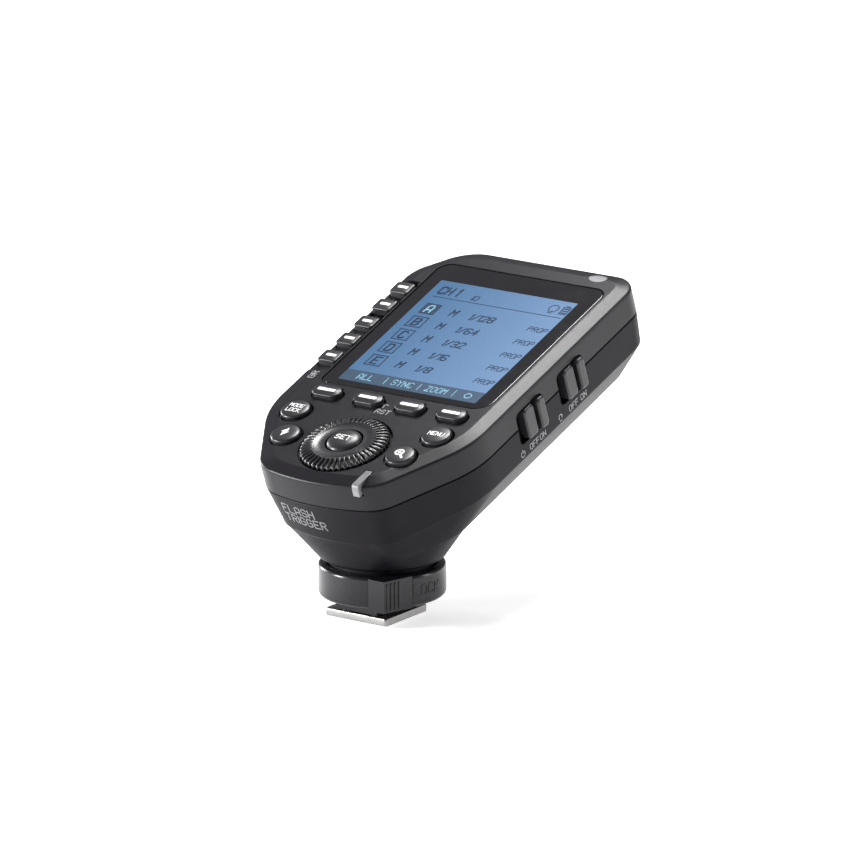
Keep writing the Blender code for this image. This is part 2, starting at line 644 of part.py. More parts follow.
def group_outline(index, grow=0.0):
    v = GROUP_FIRST_V + index * GROUP_PITCH
    half_u, half_v = GROUP_SIZE[0] / 2 + grow, GROUP_SIZE[1] / 2 + grow
    return soft_rectangle(GROUP_U - half_u, GROUP_U + half_u, v - half_v, v + half_v, 0.5 * MM, 2)


def function_outline(index, grow=0.0):
    u = FUNCTION_FIRST_U + index * FUNCTION_PITCH
    half_u, half_v = FUNCTION_SIZE[0] / 2 + grow, FUNCTION_SIZE[1] / 2 + grow
    return soft_rectangle(u - half_u, u + half_u, FUNCTION_V - half_v, FUNCTION_V + half_v,
                          half_v - 0.05 * MM, 3)


def capped_stem(bm, outline_at, top, flange_grow):
    """A button: crowned cap, stem and retaining flange; outline_at(grow) gives its outline."""
    add_loft(bm, [
        at_level(outline_at(flange_grow), FLANGE_BOTTOM), at_level(outline_at(flange_grow), FLANGE_TOP),
        at_level(outline_at(0.0), FLANGE_TOP + 0.01 * MM), at_level(outline_at(0.0), top - 0.55 * MM),
        at_level(outline_at(-0.18 * MM), top - 0.2 * MM), at_level(outline_at(-0.6 * MM), top),
    ])


def buttons(face):
    for name, place in ROUND_BUTTONS.items():
        bm = bmesh.new()
        add_turned(bm, place, [
            (ROUND_RADIUS + 0.5 * MM, FLANGE_BOTTOM), (ROUND_RADIUS + 0.5 * MM, FLANGE_TOP),
            (ROUND_RADIUS, FLANGE_TOP + 0.01 * MM), (ROUND_RADIUS, ROUND_TOP - 0.75 * MM),
            (ROUND_RADIUS - 0.2 * MM, ROUND_TOP - 0.35 * MM), (ROUND_RADIUS - 0.7 * MM, ROUND_TOP - 0.08 * MM),
            (ROUND_RADIUS - 1.7 * MM, ROUND_TOP)], 22)
        finish_object(name, bm, "button", face, (*place, 0.0))
    for i in range(FUNCTION_COUNT):
        bm = bmesh.new()
        capped_stem(bm, lambda grow, i=i: function_outline(i, grow), FUNCTION_TOP, 0.8 * MM)
        place = (FUNCTION_FIRST_U + i * FUNCTION_PITCH, FUNCTION_V, 0.0)
        finish_object(f"function_button_{i + 1}", bm, "button", face, place)
    for i, letter in enumerate(GROUP_BUTTONS):
        bm = bmesh.new()
        capped_stem(bm, lambda grow, i=i: group_outline(i, min(grow, 0.0)), GROUP_TOP, 0.0)
        place = (GROUP_U, GROUP_FIRST_V + i * GROUP_PITCH, 0.0)
        finish_object(f"group_button_{letter}", bm, "button", face, place)


def toothed_ring(radius, depth, level):
    """Three points to a tooth: its valley and the two ends of its crest."""
    ring = []
    for i in range(DIAL_TEETH):
        for part, share in ((0.0, 1.0), (0.35, 0.0), (0.65, 0.0)):
            angle = math.tau * (i + part) / DIAL_TEETH
            reach = radius - depth * share
            ring.append(Vector((reach * math.cos(angle), reach * math.sin(angle), level)))
    return ring


def control_dial(face):
    bm = bmesh.new()
    add_loft(bm, [
        toothed_ring(DIAL_RADIUS, DIAL_TOOTH_DEPTH, DIAL_BOTTOM),
        toothed_ring(DIAL_RADIUS, DIAL_TOOTH_DEPTH, DIAL_RIM_LEVEL),
        toothed_ring(DIAL_RADIUS - 0.9 * MM, DIAL_TOOTH_DEPTH, DIAL_RIM_LEVEL + 0.55 * MM),
        toothed_ring(DIAL_DISC_RADIUS + 0.5 * MM, 0.1 * MM, DIAL_TOP - 0.05 * MM),
        toothed_ring(DIAL_DISC_RADIUS, 0.0, DIAL_TOP - 0.35 * MM),
        toothed_ring(DIAL_BORE + 0.5 * MM, 0.0, DIAL_TOP - 0.35 * MM),
    ])
    dial = finish_object("control_dial", bm, "button", face)
    bm = bmesh.new()
    add_turned(bm, (0, 0), [(DIAL_HUB_RADIUS, -4.9 * MM), (DIAL_HUB_RADIUS, 0.0)], 32)
    boolean(dial, helper("dial_hub", bm, face), 'UNION')
    bm = bmesh.new()
    add_turned(bm, (0, 0), [(DIAL_BORE, -6 * MM), (DIAL_BORE, 4 * MM)], 32)
    boolean(dial, helper("cut_dial_bore", bm, face), 'DIFFERENCE')

    bm = bmesh.new()
    add_turned(bm, (0, 0), [(SET_RADIUS, -3.9 * MM), (SET_RADIUS, SET_TOP - 0.9 * MM),
                            (SET_RADIUS - 0.3 * MM, SET_TOP - 0.45 * MM),
                            (SET_RADIUS - 1.1 * MM, SET_TOP - 0.12 * MM), (SET_RADIUS - 2.4 * MM, SET_TOP)], 32)
    finish_object("set_button", bm, "button", face)

    bm = bmesh.new()
    half = ENCODER_HALF
    add_prism(bm, soft_rectangle(-half, half, -half, half, 1.2 * MM, 2), BOARD_TOP + 0.05 * MM, -3.2 * MM)
    encoder = finish_object("dial_encoder", bm, "metal", face)
    bm = bmesh.new()
    add_turned_ring(bm, (0, 0), [(3.2 * MM, -5.3 * MM), (DIAL_HUB_RADIUS + GAP, -5.3 * MM),
                                 (DIAL_HUB_RADIUS + GAP, -2 * MM), (3.2 * MM, -2 * MM)])
    add_turned(bm, (0, 0), [(3.3 * MM, -4.6 * MM), (3.3 * MM, -2 * MM)], 32)
    boolean(encoder, helper("cut_encoder", bm, face), 'DIFFERENCE', True)


def slide_switches(face):
    """Knobs in the right-hand wall, and behind them one small board with both switches."""
    bodies = bmesh.new()
    for name, (start, end, length) in SWITCHES.items():
        bm = bmesh.new()
        low = end - 0.35 * MM - length
        slot_floor = HALF_WIDTH - 0.9 * MM
        add_side_slot(bm, low, low + length, 29.2 * MM, slot_floor, 0.35 * MM)
        knob = finish_object(name, bm, "button", face, (30.0 * MM, low + length / 2, -8.45 * MM))
        bm = bmesh.new()
        for rib in (0.25, 0.75):
            middle = low + length * rib
            outline = soft_rectangle(middle - 1.75 * MM, middle + 1.75 * MM, -12.6 * MM, -4.3 * MM, 0.9 * MM, 3)
            narrow = soft_rectangle(middle - 1.35 * MM, middle + 1.35 * MM, -12.2 * MM, -4.7 * MM, 0.7 * MM, 3)
            add_loft(bm, [
                [Vector((29.5 * MM, p.x, p.y)) for p in outline],
                [Vector((HALF_WIDTH + KNOB_PROUD - 0.5 * MM, p.x, p.y)) for p in outline],
                [Vector((HALF_WIDTH + KNOB_PROUD, p.x, p.y)) for p in narrow]])
        boolean(knob, helper(f"{name}_ribs", bm, face), 'UNION')
        bm = bmesh.new()
        add_box(bm, (28.0 * MM, low - 2.7 * MM, -13.7 * MM), (28.4 * MM, low + length + 0.9 * MM, -3.3 * MM))
        add_box(bm, (28.2 * MM, low + 1.5 * MM, -10.5 * MM), (29.6 * MM, low + length - 1.5 * MM, -6.5 * MM))
        boolean(knob, helper(f"{name}_apron", bm, face), 'UNION', True)
        add_box(bodies, (26.3 * MM, start - 0.6 * MM, -12.3 * MM), (27.7 * MM, end + 0.6 * MM, -7.5 * MM))
    bm = bmesh.new()
    add_box(bm, (25.6 * MM, 26.0 * MM, -12.9 * MM), (26.6 * MM, 60.0 * MM, -7.2 * MM))
    board = finish_object("side_switch_board", bm, "board", face, smooth=False)
    boolean(board, helper("switch_bodies", bodies, face), 'UNION')


# ---------------------------------------------------------------- light, lamp and sockets
def light_pipe(face):
    bm = bmesh.new()
    add_light_pipe(bm)
    finish_object("status_light_pipe", bm, "pipe", face)


def assist_lamp(face):
    bm = bmesh.new()
    outline = soft_rectangle(-9.0 * MM, 9.0 * MM, -14.3 * MM, -9.2 * MM, 1.5 * MM)
    inner = soft_rectangle(-8.6 * MM, 8.6 * MM, -13.9 * MM, -9.6 * MM, 1.2 * MM)
    add_loft(bm, [[Vector((p.x, v, p.y)) for p in ring]
                  for v, ring in ((84.4 * MM, outline), (86.5 * MM, outline), (86.8 * MM, inner))])
    finish_object("assist_lamp_lens", bm, "red", face)
    bm = bmesh.new()
    add_cylinder_along(bm, 'Y', (0.0, -11.75 * MM), 1.9 * MM, 81.6 * MM, 84.0 * MM)
    finish_object("assist_lamp_led", bm, "red", face)


def sockets(face):
    bm = bmesh.new()
    outline = soft_rectangle(43.3 * MM, 47.1 * MM, -12.9 * MM, -8.9 * MM, 0.6 * MM, 2)
    add_loft(bm, [[Vector((u, p.x, p.y)) for p in outline] for u in (-30.4 * MM, -25.0 * MM)])
    jack = finish_object("sync_jack", bm, "rubber", face)
    bm = bmesh.new()
    add_cylinder_along(bm, 'X', (45.2 * MM, -10.9 * MM), 1.3 * MM, -32 * MM, -26 * MM)
    boolean(jack, helper("cut_jack", bm, face), 'DIFFERENCE')

    bm = bmesh.new()
    outline = soft_rectangle(51.3 * MM, 54.7 * MM, -12.9 * MM, -8.9 * MM, 1.2 * MM, 3)
    add_loft(bm, [[Vector((u, p.x, p.y)) for p in outline] for u in (-30.4 * MM, -24.6 * MM)])
    socket = finish_object("usb_socket", bm, "metal", face)
    bm = bmesh.new()
    inner = soft_rectangle(51.8 * MM, 54.2 * MM, -12.4 * MM, -9.4 * MM, 1.0 * MM, 3)
    add_loft(bm, [[Vector((u, p.x, p.y)) for p in inner] for u in (-32 * MM, -25.6 * MM)])
    boolean(socket, helper("cut_usb", bm, face), 'DIFFERENCE')

    bm = bmesh.new()
    outline = soft_rectangle(40.1 * MM, 56.9 * MM, -14.0 * MM, -8.3 * MM, 1.0 * MM, 3)
    add_loft(bm, [[Vector((u, p.x, p.y)) for p in outline] for u in (-31.0 * MM, -30.7 * MM + 0.0)])
    finish_object("port_cover", bm, "rubber", face, (-30.85 * MM, 48.5 * MM, -14.0 * MM))


# ---------------------------------------------------------------- batteries
def battery_bay(face):
    half, v0, v1, top, bottom = TRAY
    bm = bmesh.new()
    add_box(bm, (-half, v0, bottom), (half, v1, top))
    tray = finish_object("battery_tray", bm, "case", face, smooth=False)
    bm = bmesh.new()
    add_box(bm, (-half + 1 * MM, v0 + 1 * MM, bottom - 1 * MM), (half - 1 * MM, v1 - 1 * MM, top - 0.5 * MM))
    boolean(tray, helper("cut_tray", bm, face), 'DIFFERENCE')

    cells = {"battery_cell_left": -CELL_U, "battery_cell_right": CELL_U}
    tip = CELL_START + CELL_LENGTH
    for name, u in cells.items():
        bm = bmesh.new()
        rings = []
        for v, radius in ((CELL_START, CELL_RADIUS - 0.5 * MM), (CELL_START + 0.5 * MM, CELL_RADIUS),
                          (tip - 1.9 * MM, CELL_RADIUS), (tip - 1.4 * MM, CELL_RADIUS - 0.5 * MM),
                          (tip - 1.39 * MM, 2.75 * MM), (tip, 2.6 * MM)):
            rings.append([Vector((p.x, v, p.y)) for p in circle((u, CELL_W), radius, 24)])
        add_loft(bm, rings)
        finish_object(name, bm, "cell", face, (u, CELL_START, CELL_W))
        bm = bmesh.new()
        add_coil(bm, (u, 0, CELL_W), (1.2 * MM, 2.4 * MM), CELL_START - 0.5 * MM, CELL_START - 1.6 * MM,
                 2.0, 0.2 * MM, 'Y', 10, 5)
        finish_object(name.replace("cell", "spring"), bm, "metal", face, (u, CELL_START - 1 * MM, CELL_W))
    bm = bmesh.new()
    add_box(bm, (-CELL_U - 3 * MM, tip + 0.3 * MM, CELL_W - 2.3 * MM),
            (CELL_U + 3 * MM, tip + 0.6 * MM, CELL_W + 3 * MM))
    finish_object("battery_bridge_plate", bm, "gold", face, smooth=False)


def battery_door(face):
    pin_place = (0.0, DOOR_PIN_V, DOOR_PIN_W)
    bm = bmesh.new()
    add_cylinder_along(bm, 'X', (DOOR_PIN_V, DOOR_PIN_W), DOOR_PIN_RADIUS, -18.2 * MM, 18.2 * MM, 12)
    finish_object("door_hinge_pin", bm, "metal", face, pin_place)

    bm = bmesh.new()
    outline = soft_rectangle(-DOOR_HALF_WIDTH, DOOR_HALF_WIDTH, DOOR_START, DOOR_END, 0.8 * MM, 2)
    add_prism(bm, outline, BELLY_LEVEL, BELLY_LEVEL + DOOR_THICKNESS)
    door = finish_object("battery_door", bm, "case", face, pin_place)
    bm = bmesh.new()
    for side in (-1, 1):
        ends = sorted((side * 6.0 * MM, side * 14.0 * MM))
        add_cylinder_along(bm, 'X', (DOOR_PIN_V, DOOR_PIN_W), DOOR_BARREL_RADIUS, *ends, 16)
    boolean(door, helper("door_barrels", bm, face), 'UNION')
    bm = bmesh.new()
    for side in (-1, 1):
        ends = sorted((side * 6.0 * MM, side * 14.0 * MM))
        add_box(bm, (ends[0] + 0.1 * MM, DOOR_END - 0.4 * MM, BELLY_LEVEL + 0.1 * MM),
                (ends[1] - 0.1 * MM, DOOR_PIN_V, BELLY_LEVEL + 1.3 * MM))
    boolean(door, helper("door_tongues", bm, face), 'UNION')
    bm = bmesh.new()
    for rib in range(5):
        v = DOOR_START + (4 + 1.6 * rib) * MM
        add_box(bm, (-6 * MM, v, BELLY_LEVEL - 1 * MM), (6 * MM, v + 0.8 * MM, BELLY_LEVEL + 0.4 * MM))
    add_cylinder_along(bm, 'X', (DOOR_PIN_V, DOOR_PIN_W), DOOR_PIN_RADIUS + 0.2 * MM, -17 * MM, 17 * MM, 12)
    boolean(door, helper("cut_door", bm, face), 'DIFFERENCE')


def case_screws(face):
    for i, (u, v) in enumerate(CASE_SCREWS):
        bm = bmesh.new()
        add_turned(bm, (u * MM, v * MM), [(1.7 * MM, -15.0 * MM), (1.7 * MM, -13.9 * MM),
                                          (0.9 * MM, -13.7 * MM), (0.9 * MM, -5.0 * MM)], 10)
        finish_object(f"case_screw_{i + 1}", bm, "metal", face, (u * MM, v * MM, -15.0 * MM))


# ---------------------------------------------------------------- lock ring and foot
def lock_ring():
    bm = bmesh.new()
    axis = (0.0, RING_Y)
    add_turned(bm, axis, [(RING_RADIUS - 0.9 * MM, RING_BOTTOM), (RING_RADIUS, RING_BOTTOM + 0.9 * MM),
                          (RING_RADIUS, RING_TOP - 0.5 * MM), (RING_RADIUS - 0.5 * MM, RING_TOP)], 56)
    ring = finish_object("lock_ring", bm, "case", None, (*axis, 0.0))
    bm = bmesh.new()
    add_prism(bm, [Vector((x * MM, y * MM)) for x, y in LUG_CORNERS], RING_BOTTOM, RING_TOP + 0.05 * MM)
    boolean(ring, helper("lug", bm), 'UNION')
    bm = bmesh.new()
    start, end = Vector(LUG_CORNERS[1]) * MM, Vector(LUG_CORNERS[2]) * MM
    for i in range(LUG_RIBS):
        middle = start.lerp(end, 0.12 + 0.14 * i)
        add_prism(bm, circle(middle, 0.34 * MM, 8), RING_BOTTOM + 0.7 * MM, RING_TOP - 0.7 * MM)
    boolean(ring, helper("lug_ribs", bm), 'UNION')
    bm = bmesh.new()
    add_turned(bm, axis, [(RING_BORE, 2 * MM), (RING_BORE, RING_TOP - 0.9 * MM),
                          (RING_BORE + 1.3 * MM, RING_TOP + 2.1 * MM)], 40)
    boolean(ring, helper("cut_ring_bore", bm), 'DIFFERENCE')


def foot():
    half_x, half_y = FOOT_WIDTH / 2, FOOT_LENGTH / 2
    bm = bmesh.new()
    corner = 0.8 * MM
    bevel = 0.25 * MM
    outline = [(half_x, half_y, corner), (-half_x, half_y, corner),
               (-half_x, -half_y, corner), (half_x, -half_y, corner)]
    add_loft(bm, [at_level(rounded_outline(outline, bevel, 3), 0.0),
                  at_level(rounded_outline(outline, 0.0, 3), bevel),
                  at_level(rounded_outline(outline, 0.0, 3), FOOT_THICKNESS - bevel),
                  at_level(rounded_outline(outline, bevel, 3), FOOT_THICKNESS)])
    plate = finish_object("foot_plate", bm, "metal")
    wide, deep = CONTACT_WINDOW
    bm = bmesh.new()
    add_box(bm, (-wide - GAP, -deep - GAP, -1 * MM), (wide + GAP, deep + GAP, 5 * MM))
    add_turned(bm, LOCK_PIN, [(LOCK_PIN_RADIUS + GAP, -1 * MM), (LOCK_PIN_RADIUS + GAP, 5 * MM)], 16)
    for place in FOOT_SCREWS:
        add_turned(bm, place, [(1.7 * MM, -1 * MM), (1.7 * MM, 0.9 * MM)], 16)
        add_turned(bm, place, [(1.0 * MM, 0.5 * MM), (1.0 * MM, 5 * MM)], 12)
    boolean(plate, helper("cut_foot", bm), 'DIFFERENCE', True)

    bm = bmesh.new()
    add_box(bm, (-FOOT_NECK_HALF_WIDTH, -8.2 * MM, FOOT_THICKNESS + GAP),
            (FOOT_NECK_HALF_WIDTH, 8.2 * MM, BASE_PLATE_BOTTOM + 0.2 * MM))
    neck = finish_object("base_plate", bm, "case")
    bm = bmesh.new()
    add_prism(bm, soft_rectangle(-8.9 * MM, 8.9 * MM, -8.5 * MM, 13.0 * MM, 1.5 * MM, 3), BASE_PLATE_BOTTOM,
              BASE_PLATE_TOP)
    boolean(neck, helper("plate", bm), 'UNION')
    bm = bmesh.new()
    for place in FOOT_SCREWS:
        add_turned(bm, place, [(1.0 * MM, 1 * MM), (1.0 * MM, 6 * MM)], 12)
    add_turned(bm, LOCK_PIN, [(LOCK_PIN_RADIUS + GAP, 1 * MM), (LOCK_PIN_RADIUS + GAP, 6 * MM)], 16)
    add_box(bm, (-wide + 0.5 * MM, -deep + 0.5 * MM, 1 * MM), (wide - 0.5 * MM, deep - 0.5 * MM, 6 * MM))
    boolean(neck, helper("cut_base", bm), 'DIFFERENCE', True)

    bm = bmesh.new()
    add_box(bm, (-wide, -deep, 0.0), (wide, deep, FOOT_THICKNESS))
    block = finish_object("contact_block", bm, "rubber", smooth=False)
    bm = bmesh.new()
    add_box(bm, (-wide + 0.8 * MM, -deep + 0.8 * MM, 1.6 * MM), (wide - 0.8 * MM, deep - 0.8 * MM, 4.4 * MM))
    boolean(block, helper("block_top", bm), 'UNION')
    bm = bmesh.new()
    add_turned(bm, FIRING_CONTACT, [(FIRING_RADIUS + 0.2 * MM, -1 * MM), (FIRING_RADIUS + 0.2 * MM, 6 * MM)], 16)
    for place in DATA_CONTACTS:
        add_turned(bm, place, [(DATA_RADIUS + 0.2 * MM, -1 * MM), (DATA_RADIUS + 0.2 * MM, 6 * MM)], 12)
    boolean(block, helper("cut_block", bm), 'DIFFERENCE', True)


def contacts():
    def pin(name, place, radius, tip, top, finish, steps):
        bm = bmesh.new()
        add_turned(bm, place, [(radius * 0.55, tip), (radius * 0.9, tip + radius * 0.35),
                               (radius, tip + radius * 0.8), (radius, top)], steps)
        finish_object(name, bm, finish, None, (*place, 0.0))

    pin("firing_contact", FIRING_CONTACT, FIRING_RADIUS, -0.5 * MM, 3.8 * MM, "gold", 16)
    for i, place in enumerate(DATA_CONTACTS):
        pin(f"data_contact_{i + 1}", place, DATA_RADIUS, -0.5 * MM, 3.8 * MM, "gold", 12)
    pin("lock_pin", LOCK_PIN, LOCK_PIN_RADIUS, 0.3 * MM, 8.0 * MM, "metal", 16)

    bm = bmesh.new()
    add_coil(bm, (*LOCK_PIN, 0.0), (1.75 * MM, 1.75 * MM), 5.4 * MM, 10.6 * MM, 3.5, 0.25 * MM, steps=10, sides=5)
    finish_object("lock_pin_spring", bm, "metal", None, (*LOCK_PIN, 0.0))

    for i, place in enumerate(FOOT_SCREWS):
        bm = bmesh.new()
        add_turned(bm, place, [(1.4 * MM, 0.1 * MM), (1.4 * MM, 0.8 * MM), (0.7 * MM, 0.81 * MM),
                               (0.7 * MM, 4.5 * MM)], 12)
        finish_object(f"foot_screw_{i + 1}", bm, "metal", None, (*place, 0.0))


def main():
    clear_scene()
    face = frame_empty("face_frame", FACE_MATRIX)
    upper = upper_case(face)
    lower = lower_case(face)
    side_cuts(face, upper, lower)
    display_stack(face)
    main_board(face)
    switch_dome_sheet(face)
    antenna(face)
    buttons(face)
    control_dial(face)
    slide_switches(face)
    light_pipe(face)
    assist_lamp(face)
    sockets(face)
    battery_bay(face)
    battery_door(face)
    case_screws(face)
    lock_ring()
    foot()
    contacts()


main()
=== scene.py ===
"""Looks for a camera-top wireless flash trigger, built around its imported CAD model.

Lengths are in millimetres until a piece is made. The control face has its own frame: u to the
right, v up the slope and w out of the face, from the middle of the dial. The lock ring and the
foot are laid out in the shoe frame: x to the right, y the way the foot slides in, z up.
"""
import json
import logging
import math
from collections.abc import Callable, Sequence
from dataclasses import dataclass, field
from enum import Enum

import bmesh
import bpy
from mathutils import Matrix, Vector
from mathutils.bvhtree import BVHTree

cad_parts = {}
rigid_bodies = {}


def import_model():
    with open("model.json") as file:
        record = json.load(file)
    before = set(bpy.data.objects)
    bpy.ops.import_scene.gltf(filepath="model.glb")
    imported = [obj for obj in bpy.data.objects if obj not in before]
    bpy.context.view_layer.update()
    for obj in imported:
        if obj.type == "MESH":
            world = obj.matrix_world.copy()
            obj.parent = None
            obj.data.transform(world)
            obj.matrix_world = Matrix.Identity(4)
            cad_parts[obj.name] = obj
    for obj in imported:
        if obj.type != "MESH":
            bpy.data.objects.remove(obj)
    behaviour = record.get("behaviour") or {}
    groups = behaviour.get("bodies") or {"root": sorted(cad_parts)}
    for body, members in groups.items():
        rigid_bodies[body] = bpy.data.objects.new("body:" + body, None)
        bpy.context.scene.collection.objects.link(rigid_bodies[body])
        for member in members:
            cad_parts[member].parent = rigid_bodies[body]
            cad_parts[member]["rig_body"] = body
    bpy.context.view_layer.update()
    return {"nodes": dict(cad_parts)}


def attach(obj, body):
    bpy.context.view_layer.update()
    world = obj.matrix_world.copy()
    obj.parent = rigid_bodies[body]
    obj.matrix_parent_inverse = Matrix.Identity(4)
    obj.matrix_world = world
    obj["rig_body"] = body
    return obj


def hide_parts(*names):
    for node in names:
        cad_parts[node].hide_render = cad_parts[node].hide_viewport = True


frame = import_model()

LOG = logging.getLogger("flash_trigger")

MM = 0.001
GAP = 0.3
FACE_MATRIX = Matrix.Translation(Vector((0.0, -12.455, 45.676)) * MM) @ Matrix.Rotation(
    math.radians(19.85), 4, "X")

# Each letter's strokes, as points across 0 to 4 and up 0 to 6.
LETTERS = {
    "A": "00 05 16 36 45 40,02 42", "B": "00 06 36 45 44 33 03,33 42 41 30 00",
    "C": "45 36 16 05 01 10 30 41",
    "D": "00 06 36 45 41 30 00", "E": "46 06 00 40,03 33", "F": "46 06 00,03 33",
    "G": "45 36 16 05 01 10 30 41 43 23", "H": "00 06,40 46,03 43", "I": "00 06", "K": "00 06,46 02,13 40",
    "L": "06 00 40", "M": "00 06 23 46 40", "N": "00 06 40 46", "O": "10 30 41 45 36 16 05 01 10",
    "P": "00 06 36 45 44 33 03", "R": "00 06 36 45 44 33 03,23 40",
    "S": "45 36 16 05 04 13 33 42 41 30 10 01",
    "T": "06 46,26 20", "U": "06 01 10 30 41 46", "Y": "06 23 46,23 20", "Z": "06 46 00 40",
    "1": "05 16 10", "2": "05 16 36 45 44 00 40", "3": "05 16 36 45 44 33 13,33 42 41 30 10 01",
    "4": "30 36 02 42", "6": "45 36 16 05 01 10 30 41 42 33 03",
    "8": "13 04 05 16 36 45 44 33 13 02 01 10 30 41 42 33",
    "/": "00 36",
}

Corner = tuple[float, float, float]
Colour = tuple[float, float, float]
Ring = list[Vector]


class Setting(Enum):
    """The two frames that pieces are laid out in."""

    FACE = "face"
    SHOE = "shoe"

    @property
    def matrix(self) -> Matrix:
        """The frame's place in the world, in metres."""
        return FACE_MATRIX if self is Setting.FACE else Matrix.Identity(4)


class Joining(Enum):
    """How a tool body changes a piece."""

    CUT = "DIFFERENCE"
    ADD = "UNION"


class Anchor(Enum):
    """Which end of a line of lettering stays put."""

    LEFT = "LEFT"
    MIDDLE = "CENTER"


# ---------------------------------------------------------------- outlines
def scaled_blend(first: Sequence[Corner], second: Sequence[Corner], share: float) -> list[Corner]:
    """Corners part of the way from one list to another.

    Args:
        first: Corners at share 0.
        second: Corners at share 1.
        share: How far along, from 0 to 1.

    Returns:
        The corners in between, as u, v and corner radius.
    """
    return [tuple(a + (b - a) * share for a, b in zip(p, q)) for p, q in zip(first, second)]


def rounded(corners: Sequence[Corner], inset: float = 0.0, steps: int = 12) -> Ring:
    """An anticlockwise outline with rounded corners.

    Args:
        corners: Each corner's u, v and radius.
        inset: How far the outline is moved inwards; negative moves it out.
        steps: Pieces in each corner's arc.

    Returns:
        The outline's points.
    """
    count = len(corners)
    points = [Vector(corner[:2]) for corner in corners]
    runs = [(points[(i + 1) % count] - points[i]).normalized() for i in range(count)]
    inward = [Vector((-run.y, run.x)) for run in runs]
    outline = []
    for i in range(count):
        before, after = runs[i - 1], runs[i]
        turn = math.atan2(before.cross(after), before.dot(after))
        corner = points[i] + (inward[i - 1] + inward[i]) * (inset / (1.0 + before.dot(after)))
        radius = max(corners[i][2] - inset, 0.3)
        start = corner - before * radius * math.tan(turn / 2)
        centre = start + inward[i - 1] * radius
        for step in range(steps + 1):
            outline.append(centre + Matrix.Rotation(turn * step / steps, 2) @ (start - centre))
    return outline


def soft_rectangle(low: tuple[float, float], high: tuple[float, float], radius: float,
                   steps: int = 8) -> Ring:
    """A rectangle with rounded corners.

    Args:
        low: Its lowest corner.
        high: Its highest corner.
        radius: The corners' radius.
        steps: Pieces in each corner's arc.

    Returns:
        The outline's points.
    """
    corners = [(high[0], high[1], radius), (low[0], high[1], radius),
               (low[0], low[1], radius), (high[0], low[1], radius)]
    return rounded(corners, steps=steps)


def circle(centre: Sequence[float], radius: float, steps: int = 64) -> Ring:
    """A circle's points.

    Args:
        centre: Its middle.
        radius: Its radius.
        steps: How many points.

    Returns:
        The points, anticlockwise.
    """
    return [Vector((centre[0] + radius * math.cos(math.tau * i / steps),
                    centre[1] + radius * math.sin(math.tau * i / steps))) for i in range(steps)]


def lift(outline: Sequence[Vector], height: float) -> Ring:
    """The outline at a height."""
    return [Vector((p[0], p[1], height)) for p in outline]


def across(outline: Sequence[Vector], u: float) -> Ring:
    """An outline drawn in v and w, set at a place along u."""
    return [Vector((u, p[0], p[1])) for p in outline]


def along_v(outline: Sequence[Vector], v: float) -> Ring:
    """An outline drawn in u and w, set at a place along v."""
    return [Vector((p[0], v, p[1])) for p in outline]


# ---------------------------------------------------------------- bench work
class Blank:
    """Geometry being made up on the bench, in millimetres."""

    def __init__(self, setting: Setting = Setting.FACE) -> None:
        """Start with nothing, in the given frame."""
        self.setting = setting
        self.bm = bmesh.new()

    def loft(self, rings: Sequence[Ring]) -> "Blank":
        """Add a closed body through rings of equal length.

        Args:
            rings: The rings, from one end to the other.

        Returns:
            This blank.
        """
        loops = [[self.bm.verts.new(p) for p in ring] for ring in rings]
        count = len(loops[0])
        for low, high in zip(loops, loops[1:]):
            for i in range(count):
                j = (i + 1) % count
                self.bm.faces.new((low[i], low[j], high[j], high[i]))
        self.bm.faces.new(loops[0][::-1])
        self.bm.faces.new(loops[-1])
        return self

    def prism(self, outline: Sequence[Vector], low: float, high: float) -> "Blank":
        """Add a straight body on an outline and return this blank."""
        return self.loft([lift(outline, low), lift(outline, high)])

    def box(self, low: Sequence[float], high: Sequence[float]) -> "Blank":
        """Add a box between two corners and return this blank."""
        outline = [Vector((low[0], low[1])), Vector((high[0], low[1])),
                   Vector((high[0], high[1])), Vector((low[0], high[1]))]
        return self.prism(outline, low[2], high[2])

    def turned(self, centre: Sequence[float], profile: Sequence[tuple[float, float]],
               steps: int = 64) -> "Blank":
        """Add a body turned about w.

        Args:
            centre: The axis, as two coordinates.
            profile: Radius and height of each ring.
            steps: Points round each ring.

        Returns:
            This blank.
        """
        return self.loft([lift(circle(centre, r, steps), h) for r, h in profile])

    def build(self, name: str) -> bpy.types.Object:
        """Turn the blank into an object in its frame.

        Args:
            name: The object's name.

        Returns:
            The new object.
        """
        bmesh.ops.recalc_face_normals(self.bm, faces=self.bm.faces)
        bmesh.ops.scale(self.bm, verts=self.bm.verts, vec=(MM, MM, MM))
        mesh = bpy.data.meshes.new(name)
        self.bm.to_mesh(mesh)
        self.bm.free()
        made = bpy.data.objects.new(name, mesh)
        bpy.context.scene.collection.objects.link(made)
        made.matrix_world = self.setting.matrix
        return made


def settle(piece: bpy.types.Object) -> None:
    """Make a piece's modifiers part of its mesh.

    Args:
        piece: The piece to change.
    """
    bpy.context.view_layer.update()
    graph = bpy.context.evaluated_depsgraph_get()
    mesh = bpy.data.meshes.new_from_object(piece.evaluated_get(graph))
    worn = piece.data
    piece.modifiers.clear()
    piece.data = mesh
    bpy.data.meshes.remove(worn)


def work(piece: bpy.types.Object, tool: Blank, joining: Joining) -> None:
    """Cut a tool body out of a piece, or join it on.

    Args:
        piece: The piece to change.
        tool: The tool body, used up by this.
        joining: Whether it is cut out or joined on.
    """
    body = tool.build("tool")
    modifier = piece.modifiers.new("work", "BOOLEAN")
    modifier.operation = joining.value
    modifier.solver = "EXACT"
    modifier.use_self = True
    modifier.object = body
    settle(piece)
    bpy.data.objects.remove(body, do_unlink=True)


